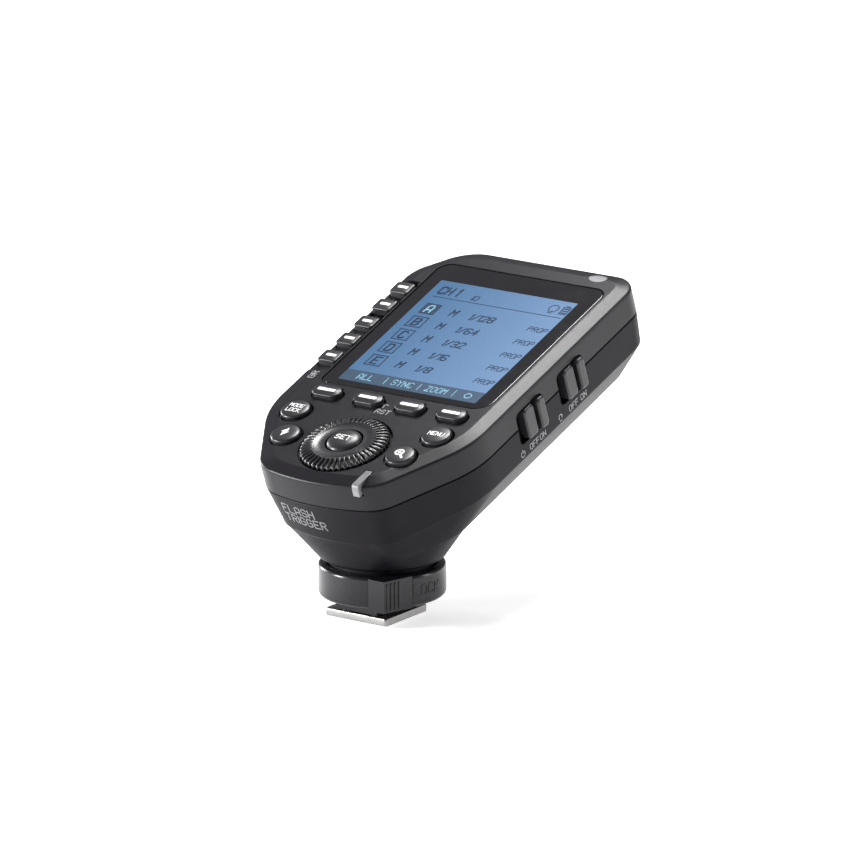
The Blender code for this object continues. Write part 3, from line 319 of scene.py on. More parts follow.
def break_edges(piece: bpy.types.Object, width: float, segments: int = 2, angle: float = 38.0) -> None:
    """Round a piece's sharp edges and shade it evenly.

    Args:
        piece: The piece to change.
        width: The rounding's width in millimetres.
        segments: Faces across the rounding.
        angle: Edges that turn more than this, in degrees, are rounded.
    """
    bmesh_clean = bmesh.new()
    bmesh_clean.from_mesh(piece.data)
    bmesh.ops.remove_doubles(bmesh_clean, verts=bmesh_clean.verts, dist=0.002 * MM)
    bmesh_clean.to_mesh(piece.data)
    bmesh_clean.free()
    bevel = piece.modifiers.new("round", "BEVEL")
    bevel.width = width * MM
    bevel.segments = segments
    bevel.limit_method = "ANGLE"
    bevel.angle_limit = math.radians(angle)
    bevel.harden_normals = False
    bevel.use_clamp_overlap = True
    settle(piece)
    even_shading(piece)


def even_shading(piece: bpy.types.Object, angle: float = 38.0) -> None:
    """Smooth a piece's shading, with its flat faces kept flat.

    Args:
        piece: The piece to change.
        angle: Edges that turn more than this, in degrees, stay sharp.
    """
    piece.data.shade_smooth()
    piece.data.set_sharp_from_angle(angle=math.radians(angle))
    weighted = piece.modifiers.new("even", "WEIGHTED_NORMAL")
    weighted.keep_sharp = True
    weighted.weight = 80


def fit(piece: bpy.types.Object, body: str, finish: bpy.types.Material,
        stands_for: Sequence[str] = ()) -> bpy.types.Object:
    """Finish a piece and let it ride on its body.

    Args:
        piece: The piece.
        body: The CAD body that it moves with.
        finish: Its material.
        stands_for: CAD nodes that it replaces.

    Returns:
        The piece.
    """
    piece.data.materials.clear()
    piece.data.materials.append(finish)
    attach(piece, body)
    if stands_for:
        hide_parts(*stands_for)
    LOG.info("%s rides on %s", piece.name, body)
    return piece


# ---------------------------------------------------------------- finishes
class Wiring:
    """A material's nodes, and short ways to add and join them."""

    def __init__(self, name: str) -> None:
        """Start a material that has only its main shader."""
        self.material = bpy.data.materials.new(name)
        self.material.use_nodes = True
        self.tree = self.material.node_tree
        self.shader = self.tree.nodes["Principled BSDF"]
        self.place = self.add("ShaderNodeTexCoord").outputs["Object"]

    def add(self, kind: str, **inputs: object) -> bpy.types.Node:
        """Add a node.

        Args:
            kind: Blender's name for the node's type.
            **inputs: Values or sockets for its inputs, with _ for a space.

        Returns:
            The node.
        """
        node = self.tree.nodes.new(kind)
        for key, value in inputs.items():
            self.feed(node.inputs[key.replace("_", " ")], value)
        return node

    def feed(self, socket: bpy.types.NodeSocket, value: object) -> None:
        """Give a socket a value, or join another socket to it.

        Args:
            socket: The input.
            value: A number, a colour or an output socket.
        """
        if isinstance(value, bpy.types.NodeSocket):
            self.tree.links.new(value, socket)
        else:
            socket.default_value = value

    def set(self, **inputs: object) -> None:
        """Give the main shader's inputs values, with _ for a space."""
        for key, value in inputs.items():
            self.feed(self.shader.inputs[key.replace("_", " ")], value)

    def noise(self, size: float, detail: float = 3.0, stretch: Sequence[float] = (1.0, 1.0, 1.0),
              roughness: float = 0.55) -> bpy.types.NodeSocket:
        """A noise pattern.

        Args:
            size: The size of its patches in millimetres.
            detail: Its octaves.
            stretch: How many times finer it is along each axis.
            roughness: How strong its finer octaves are.

        Returns:
            The pattern's value, from 0 to 1.
        """
        mapping = self.add("ShaderNodeMapping", Vector=self.place, Scale=tuple(stretch))
        pattern = self.add("ShaderNodeTexNoise", Vector=mapping.outputs["Vector"],
                           Scale=1.0 / (size * MM), Detail=detail, Roughness=roughness)
        return pattern.outputs["Fac"]

    def spread(self, pattern: bpy.types.NodeSocket, low: float, high: float, start: float = 0.3,
               end: float = 0.7) -> bpy.types.NodeSocket:
        """Map a pattern onto a range of values.

        Args:
            pattern: The pattern.
            low: The value at start.
            high: The value at end.
            start: The pattern's value that becomes low.
            end: The pattern's value that becomes high.

        Returns:
            The mapped value.
        """
        return self.add("ShaderNodeMapRange", Value=pattern, From_Min=start, From_Max=end,
                        To_Min=low, To_Max=high).outputs["Result"]

    def shades(self, pattern: bpy.types.NodeSocket, dark: Colour, light: Colour, start: float = 0.3,
               end: float = 0.7) -> bpy.types.NodeSocket:
        """Map a pattern onto a range of colours.

        Args:
            pattern: The pattern.
            dark: The colour at start.
            light: The colour at end.
            start: The pattern's value that becomes dark.
            end: The pattern's value that becomes light.

        Returns:
            The colour.
        """
        ramp = self.tree.nodes.new("ShaderNodeValToRGB")
        ramp.color_ramp.elements[0].position = start
        ramp.color_ramp.elements[0].color = (*dark, 1.0)
        ramp.color_ramp.elements[1].position = end
        ramp.color_ramp.elements[1].color = (*light, 1.0)
        self.feed(ramp.inputs["Fac"], pattern)
        return ramp.outputs["Color"]

    def relief(self, pattern: bpy.types.NodeSocket, depth: float, strength: float = 1.0,
               under: bpy.types.NodeSocket | None = None) -> bpy.types.NodeSocket:
        """Turn a pattern into small bumps.

        Args:
            pattern: The pattern.
            depth: The bumps' height in millimetres.
            strength: Their strength, from 0 to 1.
            under: Coarser bumps that these lie on.

        Returns:
            The bumps' normal.
        """
        bump = self.add("ShaderNodeBump", Height=pattern, Distance=depth * MM, Strength=strength)
        if under is not None:
            self.feed(bump.inputs["Normal"], under)
        return bump.outputs["Normal"]


def shade_of(colour: Colour, amount: float) -> Colour:
    """A colour made lighter or darker by a factor."""
    return tuple(min(1.0, part * amount) for part in colour)


@dataclass(frozen=True)
class MouldedPlastic:
    """Moulded plastic with a fine spark-eroded grain."""

    name: str
    colour: Colour
    roughness: float = 0.4
    grain: float = 0.28
    depth: float = 0.012
    mottle: float = 0.12
    specular: float = 0.5

    def make(self) -> bpy.types.Material:
        """Make the material."""
        wiring = Wiring(self.name)
        clouds = wiring.noise(9.0, 4.0)
        fine = wiring.noise(self.grain, 2.0)
        wiring.set(
            Base_Color=wiring.shades(clouds, shade_of(self.colour, 1 - self.mottle),
                                     shade_of(self.colour, 1 + self.mottle)),
            Roughness=wiring.spread(fine, self.roughness - 0.06, self.roughness + 0.06),
            Normal=wiring.relief(fine, self.depth, 0.6, wiring.relief(clouds, 0.02, 0.2)),
            Specular_IOR_Level=self.specular,
        )
        return wiring.material


@dataclass(frozen=True)
class Ink:
    """Pad-printed ink, very slightly uneven."""

    name: str
    colour: Colour
    glow: float = 0.0
    specular: float = 0.4

    def make(self) -> bpy.types.Material:
        """Make the material."""
        wiring = Wiring(self.name)
        uneven = wiring.noise(0.5, 3.0)
        wiring.set(
            Base_Color=wiring.shades(uneven, shade_of(self.colour, 0.9), self.colour),
            Roughness=wiring.spread(uneven, 0.42, 0.58),
            Specular_IOR_Level=self.specular,
            Emission_Color=(*self.colour, 1.0),
            Emission_Strength=self.glow,
        )
        return wiring.material


@dataclass(frozen=True)
class BlackGlass:
    """A polished window with a black printed border behind it."""

    name: str
    colour: Colour = (0.004, 0.004, 0.005)

    def make(self) -> bpy.types.Material:
        """Make the material."""
        wiring = Wiring(self.name)
        ripple = wiring.noise(30.0, 1.0)
        smears = wiring.noise(6.0, 4.0)
        wiring.set(
            Base_Color=wiring.shades(ripple, self.colour, shade_of(self.colour, 1.6)),
            Roughness=wiring.spread(smears, 0.06, 0.13),
            Normal=wiring.relief(ripple, 0.05, 0.15),
            Coat_Weight=0.6,
            Coat_Roughness=0.04,
        )
        return wiring.material


@dataclass(frozen=True)
class LitScreen:
    """A backlit display under its window, brighter towards one edge."""

    name: str
    dark: Colour
    light: Colour
    glow: float
    low: float
    high: float

    def make(self) -> bpy.types.Material:
        """Make the material."""
        wiring = Wiring(self.name)
        parts = wiring.add("ShaderNodeSeparateXYZ", Vector=wiring.place)
        tilt = wiring.add("ShaderNodeMath", **{"Value": parts.outputs["Y"]})
        tilt.operation = "MULTIPLY_ADD"
        tilt.inputs[1].default_value = -0.1
        wiring.feed(tilt.inputs[2], parts.outputs["X"])
        share = wiring.spread(tilt.outputs["Value"], 0.0, 1.0, self.low * MM, self.high * MM)
        colour = wiring.shades(share, self.dark, self.light, 0.0, 1.0)
        grid = wiring.noise(0.35, 1.0)
        wiring.set(
            Base_Color=wiring.shades(grid, (0.02, 0.03, 0.05), (0.03, 0.05, 0.08)),
            Emission_Color=colour,
            Emission_Strength=self.glow,
            Roughness=wiring.spread(grid, 0.12, 0.18),
            Specular_IOR_Level=0.3,
        )
        return wiring.material


@dataclass(frozen=True)
class PlatedMetal:
    """Plated sheet metal with fine brushing along one axis."""

    name: str
    colour: Colour
    roughness: float = 0.26
    stretch: tuple[float, float, float] = (1.0, 18.0, 1.0)
    brushing: float = 0.01

    def make(self) -> bpy.types.Material:
        """Make the material."""
        wiring = Wiring(self.name)
        strokes = wiring.noise(1.6, 5.0, self.stretch)
        blotches = wiring.noise(3.0, 3.0)
        wiring.set(
            Base_Color=wiring.shades(blotches, shade_of(self.colour, 0.86), self.colour),
            Metallic=1.0,
            Roughness=wiring.spread(strokes, self.roughness - 0.08, self.roughness + 0.12),
            Normal=wiring.relief(strokes, self.brushing, 0.5),
        )
        return wiring.material


@dataclass(frozen=True)
class FrostedPipe:
    """Clear plastic with a frosted skin, lit only from outside."""

    name: str
    colour: Colour

    def make(self) -> bpy.types.Material:
        """Make the material."""
        wiring = Wiring(self.name)
        frost = wiring.noise(0.15, 2.0)
        haze = wiring.noise(2.5, 3.0)
        wiring.set(
            Base_Color=wiring.shades(haze, shade_of(self.colour, 0.85), shade_of(self.colour, 1.1)),
            Roughness=wiring.spread(frost, 0.28, 0.4),
            Normal=wiring.relief(frost, 0.006, 0.5),
            Coat_Weight=0.3,
            Coat_Roughness=0.12,
        )
        return wiring.material


@dataclass(frozen=True)
class RedLens:
    """A deep red lens with fine upright ribs."""

    name: str
    colour: Colour

    def make(self) -> bpy.types.Material:
        """Make the material."""
        wiring = Wiring(self.name)
        ribs = wiring.noise(0.9, 0.0, (1.0, 0.05, 0.05))
        wiring.set(
            Base_Color=wiring.shades(ribs, shade_of(self.colour, 0.5), self.colour),
            Roughness=wiring.spread(ribs, 0.08, 0.16),
            Normal=wiring.relief(ribs, 0.12, 0.8),
            Coat_Weight=0.8,
            Coat_Roughness=0.03,
        )
        return wiring.material


@dataclass(frozen=True)
class CircuitBoard:
    """Green solder mask over copper runs."""

    name: str
    mask: Colour
    copper: Colour

    def make(self) -> bpy.types.Material:
        """Make the material."""
        wiring = Wiring(self.name)
        runs = wiring.add("ShaderNodeTexBrick", Vector=wiring.place, Scale=260.0,
                          Color1=(*self.mask, 1.0), Color2=(*shade_of(self.mask, 1.5), 1.0),
                          Mortar=(*self.copper, 1.0))
        grain = wiring.noise(0.4, 2.0)
        wiring.set(Base_Color=runs.outputs["Color"], Roughness=wiring.spread(grain, 0.3, 0.45),
                   Normal=wiring.relief(grain, 0.01, 0.4))
        return wiring.material


@dataclass(frozen=True)
class FloorPaper:
    """The pale paper that the trigger stands on."""

    name: str
    colour: Colour
    glow: float

    def make(self) -> bpy.types.Material:
        """Make the material."""
        wiring = Wiring(self.name)
        fibres = wiring.noise(4.0, 3.0)
        wiring.set(Base_Color=wiring.shades(fibres, shade_of(self.colour, 0.995), self.colour),
                   Roughness=0.9, Specular_IOR_Level=0.1,
                   Emission_Color=(*self.colour, 1.0), Emission_Strength=self.glow)
        return wiring.material


@dataclass
class Finishes:
    """Every finish, made once and shared."""

    case: bpy.types.Material = field(init=False)
    base: bpy.types.Material = field(init=False)
    key: bpy.types.Material = field(init=False)
    dial: bpy.types.Material = field(init=False)
    ring: bpy.types.Material = field(init=False)
    glass: bpy.types.Material = field(init=False)
    screen: bpy.types.Material = field(init=False)
    strip: bpy.types.Material = field(init=False)
    screen_ink: bpy.types.Material = field(init=False)
    strip_ink: bpy.types.Material = field(init=False)
    white: bpy.types.Material = field(init=False)
    grey_ink: bpy.types.Material = field(init=False)
    nose_ink: bpy.types.Material = field(init=False)
    badge: bpy.types.Material = field(init=False)
    pipe: bpy.types.Material = field(init=False)
    red: bpy.types.Material = field(init=False)
    rubber: bpy.types.Material = field(init=False)
    board: bpy.types.Material = field(init=False)
    inner: bpy.types.Material = field(init=False)
    sleeve: bpy.types.Material = field(init=False)
    diffuser: bpy.types.Material = field(init=False)
    nickel: bpy.types.Material = field(init=False)
    steel: bpy.types.Material = field(init=False)
    gold: bpy.types.Material = field(init=False)

    def __post_init__(self) -> None:
        """Make every material."""
        self.case = MouldedPlastic("case_plastic", (0.0085, 0.0078, 0.0098), 0.36, specular=0.2).make()
        # The lower half's plastic is a darker copy of the case plastic: its darker colour is painted shade
        # for the shaded underside, while its higher roughness and lower specular only change how it reflects.
        self.base = MouldedPlastic("base_plastic", (0.0075, 0.0068, 0.0086), 0.46, specular=0.08).make()
        self.key = MouldedPlastic("key_plastic", (0.016, 0.016, 0.018), 0.34, 0.2, 0.006, specular=0.4).make()
        self.dial = MouldedPlastic("dial_plastic", (0.014, 0.014, 0.016), 0.3, 0.12, 0.002,
                                   specular=0.5).make()
        self.ring = MouldedPlastic("ring_plastic", (0.010, 0.010, 0.012), 0.24, 0.18, 0.0025,
                                   specular=0.3).make()
        self.glass = BlackGlass("window_glass").make()
        self.screen = LitScreen("screen_light", (0.05, 0.15, 0.30), (0.22, 0.36, 0.60), 0.85, -24.0,
                                24.0).make()
        self.strip = LitScreen("screen_strip", (0.035, 0.062, 0.085), (0.08, 0.12, 0.17), 0.7, -24.0,
                               24.0).make()
        self.screen_ink = Ink("screen_ink", (0.006, 0.02, 0.05), 0.25, 0.15).make()
        self.strip_ink = Ink("strip_ink", (0.14, 0.28, 0.37), 0.45, 0.2).make()
        self.white = Ink("white_print", (0.86, 0.86, 0.85)).make()
        self.grey_ink = Ink("grey_print", (0.32, 0.32, 0.33)).make()
        self.nose_ink = Ink("nose_print", (0.17, 0.17, 0.175)).make()
        self.badge = Ink("badge_print", (0.2, 0.2, 0.205)).make()
        self.pipe = FrostedPipe("frosted_pipe", (0.15, 0.15, 0.155)).make()
        self.red = RedLens("red_lens", (0.16, 0.006, 0.006)).make()
        self.rubber = MouldedPlastic("soft_rubber", (0.018, 0.018, 0.02), 0.75, 0.35, 0.01).make()
        self.board = CircuitBoard("circuit_board", (0.012, 0.09, 0.035), (0.12, 0.3, 0.1)).make()
        self.inner = MouldedPlastic("inner_plastic", (0.03, 0.03, 0.033), 0.5, 0.6, 0.02).make()
        self.sleeve = MouldedPlastic("cell_sleeve", (0.03, 0.09, 0.055), 0.22, 4.0, 0.01, 0.3).make()
        self.diffuser = MouldedPlastic("white_plastic", (0.75, 0.75, 0.73), 0.5, 1.0, 0.01, 0.04).make()
        self.nickel = PlatedMetal("nickel", (0.36, 0.355, 0.35), 0.3, (1.0, 16.0, 16.0)).make()
        self.steel = PlatedMetal("steel", (0.62, 0.62, 0.63), 0.3, (4.0, 4.0, 1.0)).make()
        self.gold = PlatedMetal("gold", (0.9, 0.66, 0.3), 0.24, (4.0, 4.0, 1.0)).make()


# ---------------------------------------------------------------- printing
@dataclass
class Printer:
    """Prints lettering and signs as thin plates pressed onto a surface."""

    thickness: float = 0.035
    sink: float = 0.06
    cap_height: float = 0.72
    letter_gap: float = 1.7
    stroke: float = 0.085
    finest: float = 0.45

    def press(self, flat: bpy.types.Object, origin: Vector, right: Vector, up: Vector,
              target: bpy.types.Object | None) -> None:
        """Move flat artwork onto a surface, or leave it on its plane.

        Args:
            flat: Artwork drawn in its own x and y, in metres, with z 0 below and 1 on top.
            origin: Where its own origin goes, in the face frame, in millimetres.
            right: The direction of its x.
            up: The direction of its y.
            target: The piece that it is pressed onto, or None.
        """
        out = right.cross(up)
        tree = None
        if target is not None:
            self.refine(flat)
            graph = bpy.context.evaluated_depsgraph_get()
            tree = BVHTree.FromObject(target, graph)
        for vertex in flat.data.vertices:
            level = self.thickness if vertex.co.z > 0.5 else -self.sink
            spot = origin * MM + right * vertex.co.x + up * vertex.co.y
            if tree is not None:
                hit = tree.ray_cast(spot + out * 4 * MM, -out, 12 * MM)
                spot = hit[0] if hit[0] is not None else spot
            vertex.co = spot + out * level * MM
        flat.data.update()

    def lettering(self, name: str, words: str, size: float, bold: float = 0.0, slant: float = 0.0,
                  anchor: Anchor = Anchor.MIDDLE, squeeze: float = 1.0) -> bpy.types.Object:
        """Draw words as flat artwork, with straight pen strokes.

        Args:
            name: The piece's name.
            words: What they say.
            size: The height of a line in millimetres.
            bold: How much the strokes are thickened, in millimetres.
            slant: How far the letters lean.
            anchor: Which end of the line stays put.
            squeeze: Their width against their normal width.

        Returns:
            The artwork, with z 0 below and 1 on top.
        """
        unit = size * self.cap_height / 6.0
        lines, reach = [], 0.0
        for letter in words:
            strokes = LETTERS.get(letter, "").split(",")
            spots = [[(int(mark[0]), int(mark[1])) for mark in stroke.split()] for stroke in strokes]
            lines += [[(reach + x, y) for x, y in spot] for spot in spots if spot]
            reach += max((x for spot in spots for x, y in spot), default=1.2) + self.letter_gap
        start = 0.0 if anchor is Anchor.LEFT else (reach - self.letter_gap) / 2
        shapes = []
        for line in lines:
            drawn = [((x - start + slant * (y - 3.0)) * unit * squeeze, (y - 3.0) * unit) for x, y in line]
            shapes += pen(drawn, size * self.stroke + bold)
        return self.sign(name, shapes)

    def refine(self, flat: bpy.types.Object) -> None:
        """Split artwork's long edges so that it can follow a curved surface.

        Args:
            flat: The artwork.
        """
        bm = bmesh.new()
        bm.from_mesh(flat.data)
        for _ in range(6):
            long = [edge for edge in bm.edges
                    if (edge.verts[0].co - edge.verts[1].co).xy.length > self.finest * MM]
            if not long:
                break
            bmesh.ops.subdivide_edges(bm, edges=long, cuts=1)
            bmesh.ops.triangulate(bm, faces=[face for face in bm.faces if len(face.verts) > 4])
        bm.to_mesh(flat.data)
        bm.free()

    def thicken(self, name: str, mesh: bpy.types.Mesh) -> bpy.types.Object:
        """Give flat faces a top and an underside, as z 1 and 0.

        Args:
            name: The piece's name.
            mesh: Flat faces, in metres.

        Returns:
            The artwork.
        """
        bm = bmesh.new()
        bm.from_mesh(mesh)
        bmesh.ops.remove_doubles(bm, verts=bm.verts, dist=0.001 * MM)
        bmesh.ops.triangulate(bm, faces=bm.faces)
        for vertex in bm.verts:
            vertex.co.z = 0.0
        top = bmesh.ops.extrude_face_region(bm, geom=bm.faces)
        for item in top["geom"]:
            if isinstance(item, bmesh.types.BMVert):
                item.co.z = 1.0
        bmesh.ops.recalc_face_normals(bm, faces=bm.faces)
        bm.to_mesh(mesh)
        bm.free()
        mesh.name = name
        made = bpy.data.objects.new(name, mesh)
        bpy.context.scene.collection.objects.link(made)
        made.matrix_world = FACE_MATRIX
        return made

    def sign(self, name: str, shapes: Sequence[Sequence[Vector]]) -> bpy.types.Object:
        """Draw closed shapes as flat artwork.

        Args:
            name: The piece's name.
            shapes: Outlines in millimetres.

        Returns:
            The artwork, with z 0 below and 1 on top.
        """
        bm = bmesh.new()
        for shape in shapes:
            corners = [bm.verts.new((p[0] * MM, p[1] * MM, 0.0)) for p in shape]
            bm.faces.new(corners)
        mesh = bpy.data.meshes.new(name)
        bm.to_mesh(mesh)
        bm.free()
        return self.thicken(name, mesh)


def pen(points: Sequence[tuple[float, float]], width: float, closed: bool = False) -> list[Ring]:
    """Straight strokes along a line.

    Args:
        points: The line's points, in millimetres.
        width: The pen's width.
        closed: Whether the last point joins the first.

    Returns:
        One outline for each stroke.
    """
    line = [Vector(p) for p in points]
    pairs = list(zip(line, line[1:] + line[:1])) if closed else list(zip(line, line[1:]))
    strokes = []
    for start, end in pairs:
        run = (end - start).normalized() * width / 2
        side = Vector((-run.y, run.x))
        strokes.append([start - run - side, end + run - side, end + run + side, start - run + side])
    return strokes


def arc_pen(centre: Sequence[float], radius: float, width: float, start: float = 0.0,
            end: float = 360.0, steps: int = 20) -> list[Ring]:
    """A curved stroke, as short slabs.

    Args:
        centre: The arc's centre.
        radius: Its radius.
        width: The pen's width.
        start: Its first angle in degrees.
        end: Its last angle in degrees.
        steps: How many slabs.

    Returns:
        One outline for each slab.
    """
    slabs = []
    for k in range(steps):
        a, b = (math.radians(start + (end - start) * (k + i) / steps) for i in (0, 1))
        inner, outer = radius - width / 2, radius + width / 2
        slabs.append([Vector((centre[0] + r * math.cos(t), centre[1] + r * math.sin(t)))
                      for r, t in ((inner, a), (outer, a), (outer, b), (inner, b))])
    return slabs


# ---------------------------------------------------------------- the housing
@dataclass
class KeyPlan:
    """Where the keys, the dial and the switches sit on the housing."""

    group_u: float = -27.4
    group_first: float = 33.4
    group_pitch: float = 8.05
    group_size: tuple[float, float] = (5.4, 4.6)
    group_letters: str = "abcde"
    function_first: float = -17.65
    function_pitch: float = 12.53
    function_v: float = 18.05
    function_size: tuple[float, float] = (8.2, 4.3)
    function_count: int = 4
    round_radius: float = 3.8
    rounds: dict[str, tuple[float, float]] = field(default_factory=lambda: {
        "mode_lock_button": (-21.3, 9.3), "menu_button": (21.3, 9.3),
        "flash_test_button": (-17.3, -0.8), "zoom_button": (17.3, -0.8)})
    hub_radius: float = 6.3
    well_radius: float = 11.7
    well_depth: float = 1.1
    recess: float = 0.9
    slots: dict[str, tuple[float, float]] = field(default_factory=lambda: {
        "power_switch_knob": (28.1, 39.7), "assist_lamp_switch_knob": (46.3, 57.7)})
    slot_low: float = -13.0
    slot_high: float = -3.9

    def group_outline(self, index: int, grow: float = 0.0) -> Ring:
        """A group key's outline, counted from the lowest, grown by an amount."""
        v = self.group_first + index * self.group_pitch
        half_u, half_v = self.group_size[0] / 2 + grow, self.group_size[1] / 2 + grow
        return soft_rectangle((self.group_u - half_u, v - half_v), (self.group_u + half_u, v + half_v),
                              0.6, 5)

    def function_outline(self, index: int, grow: float = 0.0) -> Ring:
        """A function key's outline, counted from the left, grown by an amount."""
        u = self.function_first + index * self.function_pitch
        half_u, half_v = self.function_size[0] / 2 + grow, self.function_size[1] / 2 + grow
        return soft_rectangle((u - half_u, self.function_v - half_v), (u + half_u, self.function_v + half_v),
                              half_v - 0.05, 10)


@dataclass
class Housing:
    """The two halves of the case and the neck that carries them."""

    plan: KeyPlan
    case: Sequence[Corner] = (
        (31.0, 86.9, 7.0), (-21.3, 86.9, 13.0), (-31.0, 74.9, 10.0), (-31.0, 9.7, 25.0),
        (-17.5, -13.1, 9.3), (0.0, -17.0, 62.0), (17.5, -13.1, 9.3), (31.0, 9.7, 25.0))
    hem: Sequence[Corner] = (
        (30.5, 86.5, 7.0), (-21.0, 86.5, 12.6), (-30.5, 74.7, 9.7), (-30.2, 10.6, 23.0),
        (-16.0, -11.3, 8.2), (0.0, -15.6, 50.0), (16.6, -11.7, 8.2), (30.5, 9.9, 24.0))
    belly: Sequence[Corner] = (
        (23.5, 83.6, 6.0), (-16.5, 83.6, 9.0), (-23.5, 75.0, 8.0), (-22.5, 7.5, 14.0),
        (-14.6, -7.2, 6.5), (0.0, -11.2, 42.0), (15.6, -8.4, 6.5), (23.5, 5.5, 14.0))
    window: Sequence[Corner] = ((26.5, 79.05, 3.6), (-23.75, 79.05, 3.6), (-23.75, 22.85, 2.2),
                                (26.5, 22.85, 4.8))
    parting: float = -8.1
    hem_level: float = -16.9
    belly_level: float = -26.2
    nose_drop: float = 2.0
    nose_start: float = 14.0
    nose_length: float = 24.0
    wall: float = 2.0
    skin: float = 2.6
    screws: Sequence[tuple[float, float]] = ((27.3, 22.5), (-27.3, 22.5), (26.6, 82.0), (-20.5, 82.0))
    ring_y: float = 2.5
    neck_bottom: float = 14.8
    neck_radius: float = 15.7
    neck_lip: tuple[float, float] = (14.5, 14.1)
    neck_top: tuple[float, float, float, float] = (23.0, 18.8, 9.6, 3.4)
    boss_radius: float = 13.1
    door: tuple[float, float, float] = (17.2, 29.0, 82.9)
    pipe_u: float = 13.0

    def drop(self, v: float) -> float:
        """How far the hem hangs at a height v on the face."""
        share = min(max((self.nose_start - v) / self.nose_length, 0.0), 1.0)
        return self.nose_drop * share * share * (3.0 - 2.0 * share)

    def wall_ring(self, level: float, inset: float = 0.0) -> Ring:
        """The upright wall's outline at a level."""
        share = min(max((self.parting - level) / (self.parting - self.hem_level), 0.0), 1.0)
        return lift(rounded(scaled_blend(self.case, self.hem, share), inset), level)

    def hem_ring(self, rise: float, inset: float = 0.0) -> Ring:
        """The outline along the hem, at a height above it."""
        ring = lift(rounded(self.hem, inset), self.hem_level + rise)
        return [Vector((p.x, p.y, p.z - self.drop(p.y))) for p in ring]

    def belly_ring(self, share: float, inset: float = 0.0) -> Ring:
        """The slanted underside's outline, from the hem at 0 to the belly at 1."""
        low = lift(rounded(self.belly, inset), self.belly_level)
        return [p.lerp(q, share) for p, q in zip(self.hem_ring(0.0, inset), low)]

    def upright(self, outline: Sequence[Vector], low: float, high: float) -> list[Ring]:
        """Two rings of a body that stands upright in the shoe frame, in the face frame.

        Args:
            outline: Its outline in x and y.
            low: Its lower end.
            high: Its upper end.

        Returns:
            The two rings.
        """
        inverse = FACE_MATRIX.inverted()
        return [[(inverse @ (Vector((p[0], p[1], z)) * MM)) / MM for p in outline] for z in (low, high)]

    def hem_point(self, hem: Ring, c: float, s: float) -> Vector:
        """Find where a line from the neck's middle leaves the hem.

        Args:
            hem: The hem's outline.
            c: The line's direction along u.
            s: The line's direction along v.

        Returns:
            The point on the hem.
        """
        middle = self.neck_top[2]
        for first, second in zip(hem, hem[1:] + hem[:1]):
            side = second - first
            turn = c * side.y - s * side.x
            if abs(turn) < 1e-9:
                continue
            reach = (first.x * side.y - (first.y - middle) * side.x) / turn
            share = (first.x * s - (first.y - middle) * c) / turn
            if reach > 0 and -1e-6 <= share <= 1 + 1e-6:
                return first.lerp(second, share)
        return hem[0]

    def neck_rings(self, shares: Sequence[float]) -> list[Ring]:
        """The neck's outlines, from its round lower end at 0 to the belly and the nose's hem at 1.

        Args:
            shares: How far up each outline lies.

        Returns:
            The outlines.
        """
        half_width, half_length, middle, power = self.neck_top
        hem = self.hem_ring(-0.1, 0.35)
        foot = self.upright(circle((0.0, self.ring_y), self.neck_radius, 120), self.neck_bottom,
                            self.neck_bottom)[0]
        top = []
        for i in range(120):
            angle = math.tau * i / 120
            c, s = math.cos(angle), math.sin(angle)
            square = (abs(c) ** power + abs(s) ** power) ** (-1 / power)
            back = Vector((half_width * c * square, middle + half_length * s * square,
                           self.belly_level + 1.0))
            forward = min(max(-s / 0.4, 0.0), 1.0)
            top.append(back.lerp(self.hem_point(hem, c, s), forward * forward * (3.0 - 2.0 * forward)))
        return [[low.lerp(high, share) for low, high in zip(foot, top)] for share in shares]

    def neck(self) -> Blank:
        """The whole neck, from the chamfer at its foot to a flat lid hidden in the case."""
        radius, level = self.neck_lip
        lip = self.upright(circle((0.0, self.ring_y), radius, 120), level, level)[0]
        lid = lift(circle((0.0, self.neck_top[2]), self.neck_top[1] - 6.0, 120), self.hem_level + 2.0)
        return Blank().loft([lip, *self.neck_rings((0.0, 0.04, 0.25, 0.5, 0.75, 1.0)), lid])

    def side_openings(self) -> Blank:
        """The openings that cross the parting line."""
        tool = Blank()
        for start, end in self.plan.slots.values():
            outline = soft_rectangle((start, self.plan.slot_low), (end, self.plan.slot_high), 1.6)
            tool.loft([across(outline, 27.5), across(outline, 33.0)])
        tool.box((-33.0, 43.0, -13.2), (-28.0, 47.4, -8.6))
        tool.box((-33.0, 51.0, -13.2), (-28.0, 55.0, -8.6))
        tool.box((-33.0, 39.8, -14.3), (-30.0, 57.2, -8.0))
        tool.box((-9.3, 83.6, -14.6), (9.3, 90.0, -8.9))
        return tool

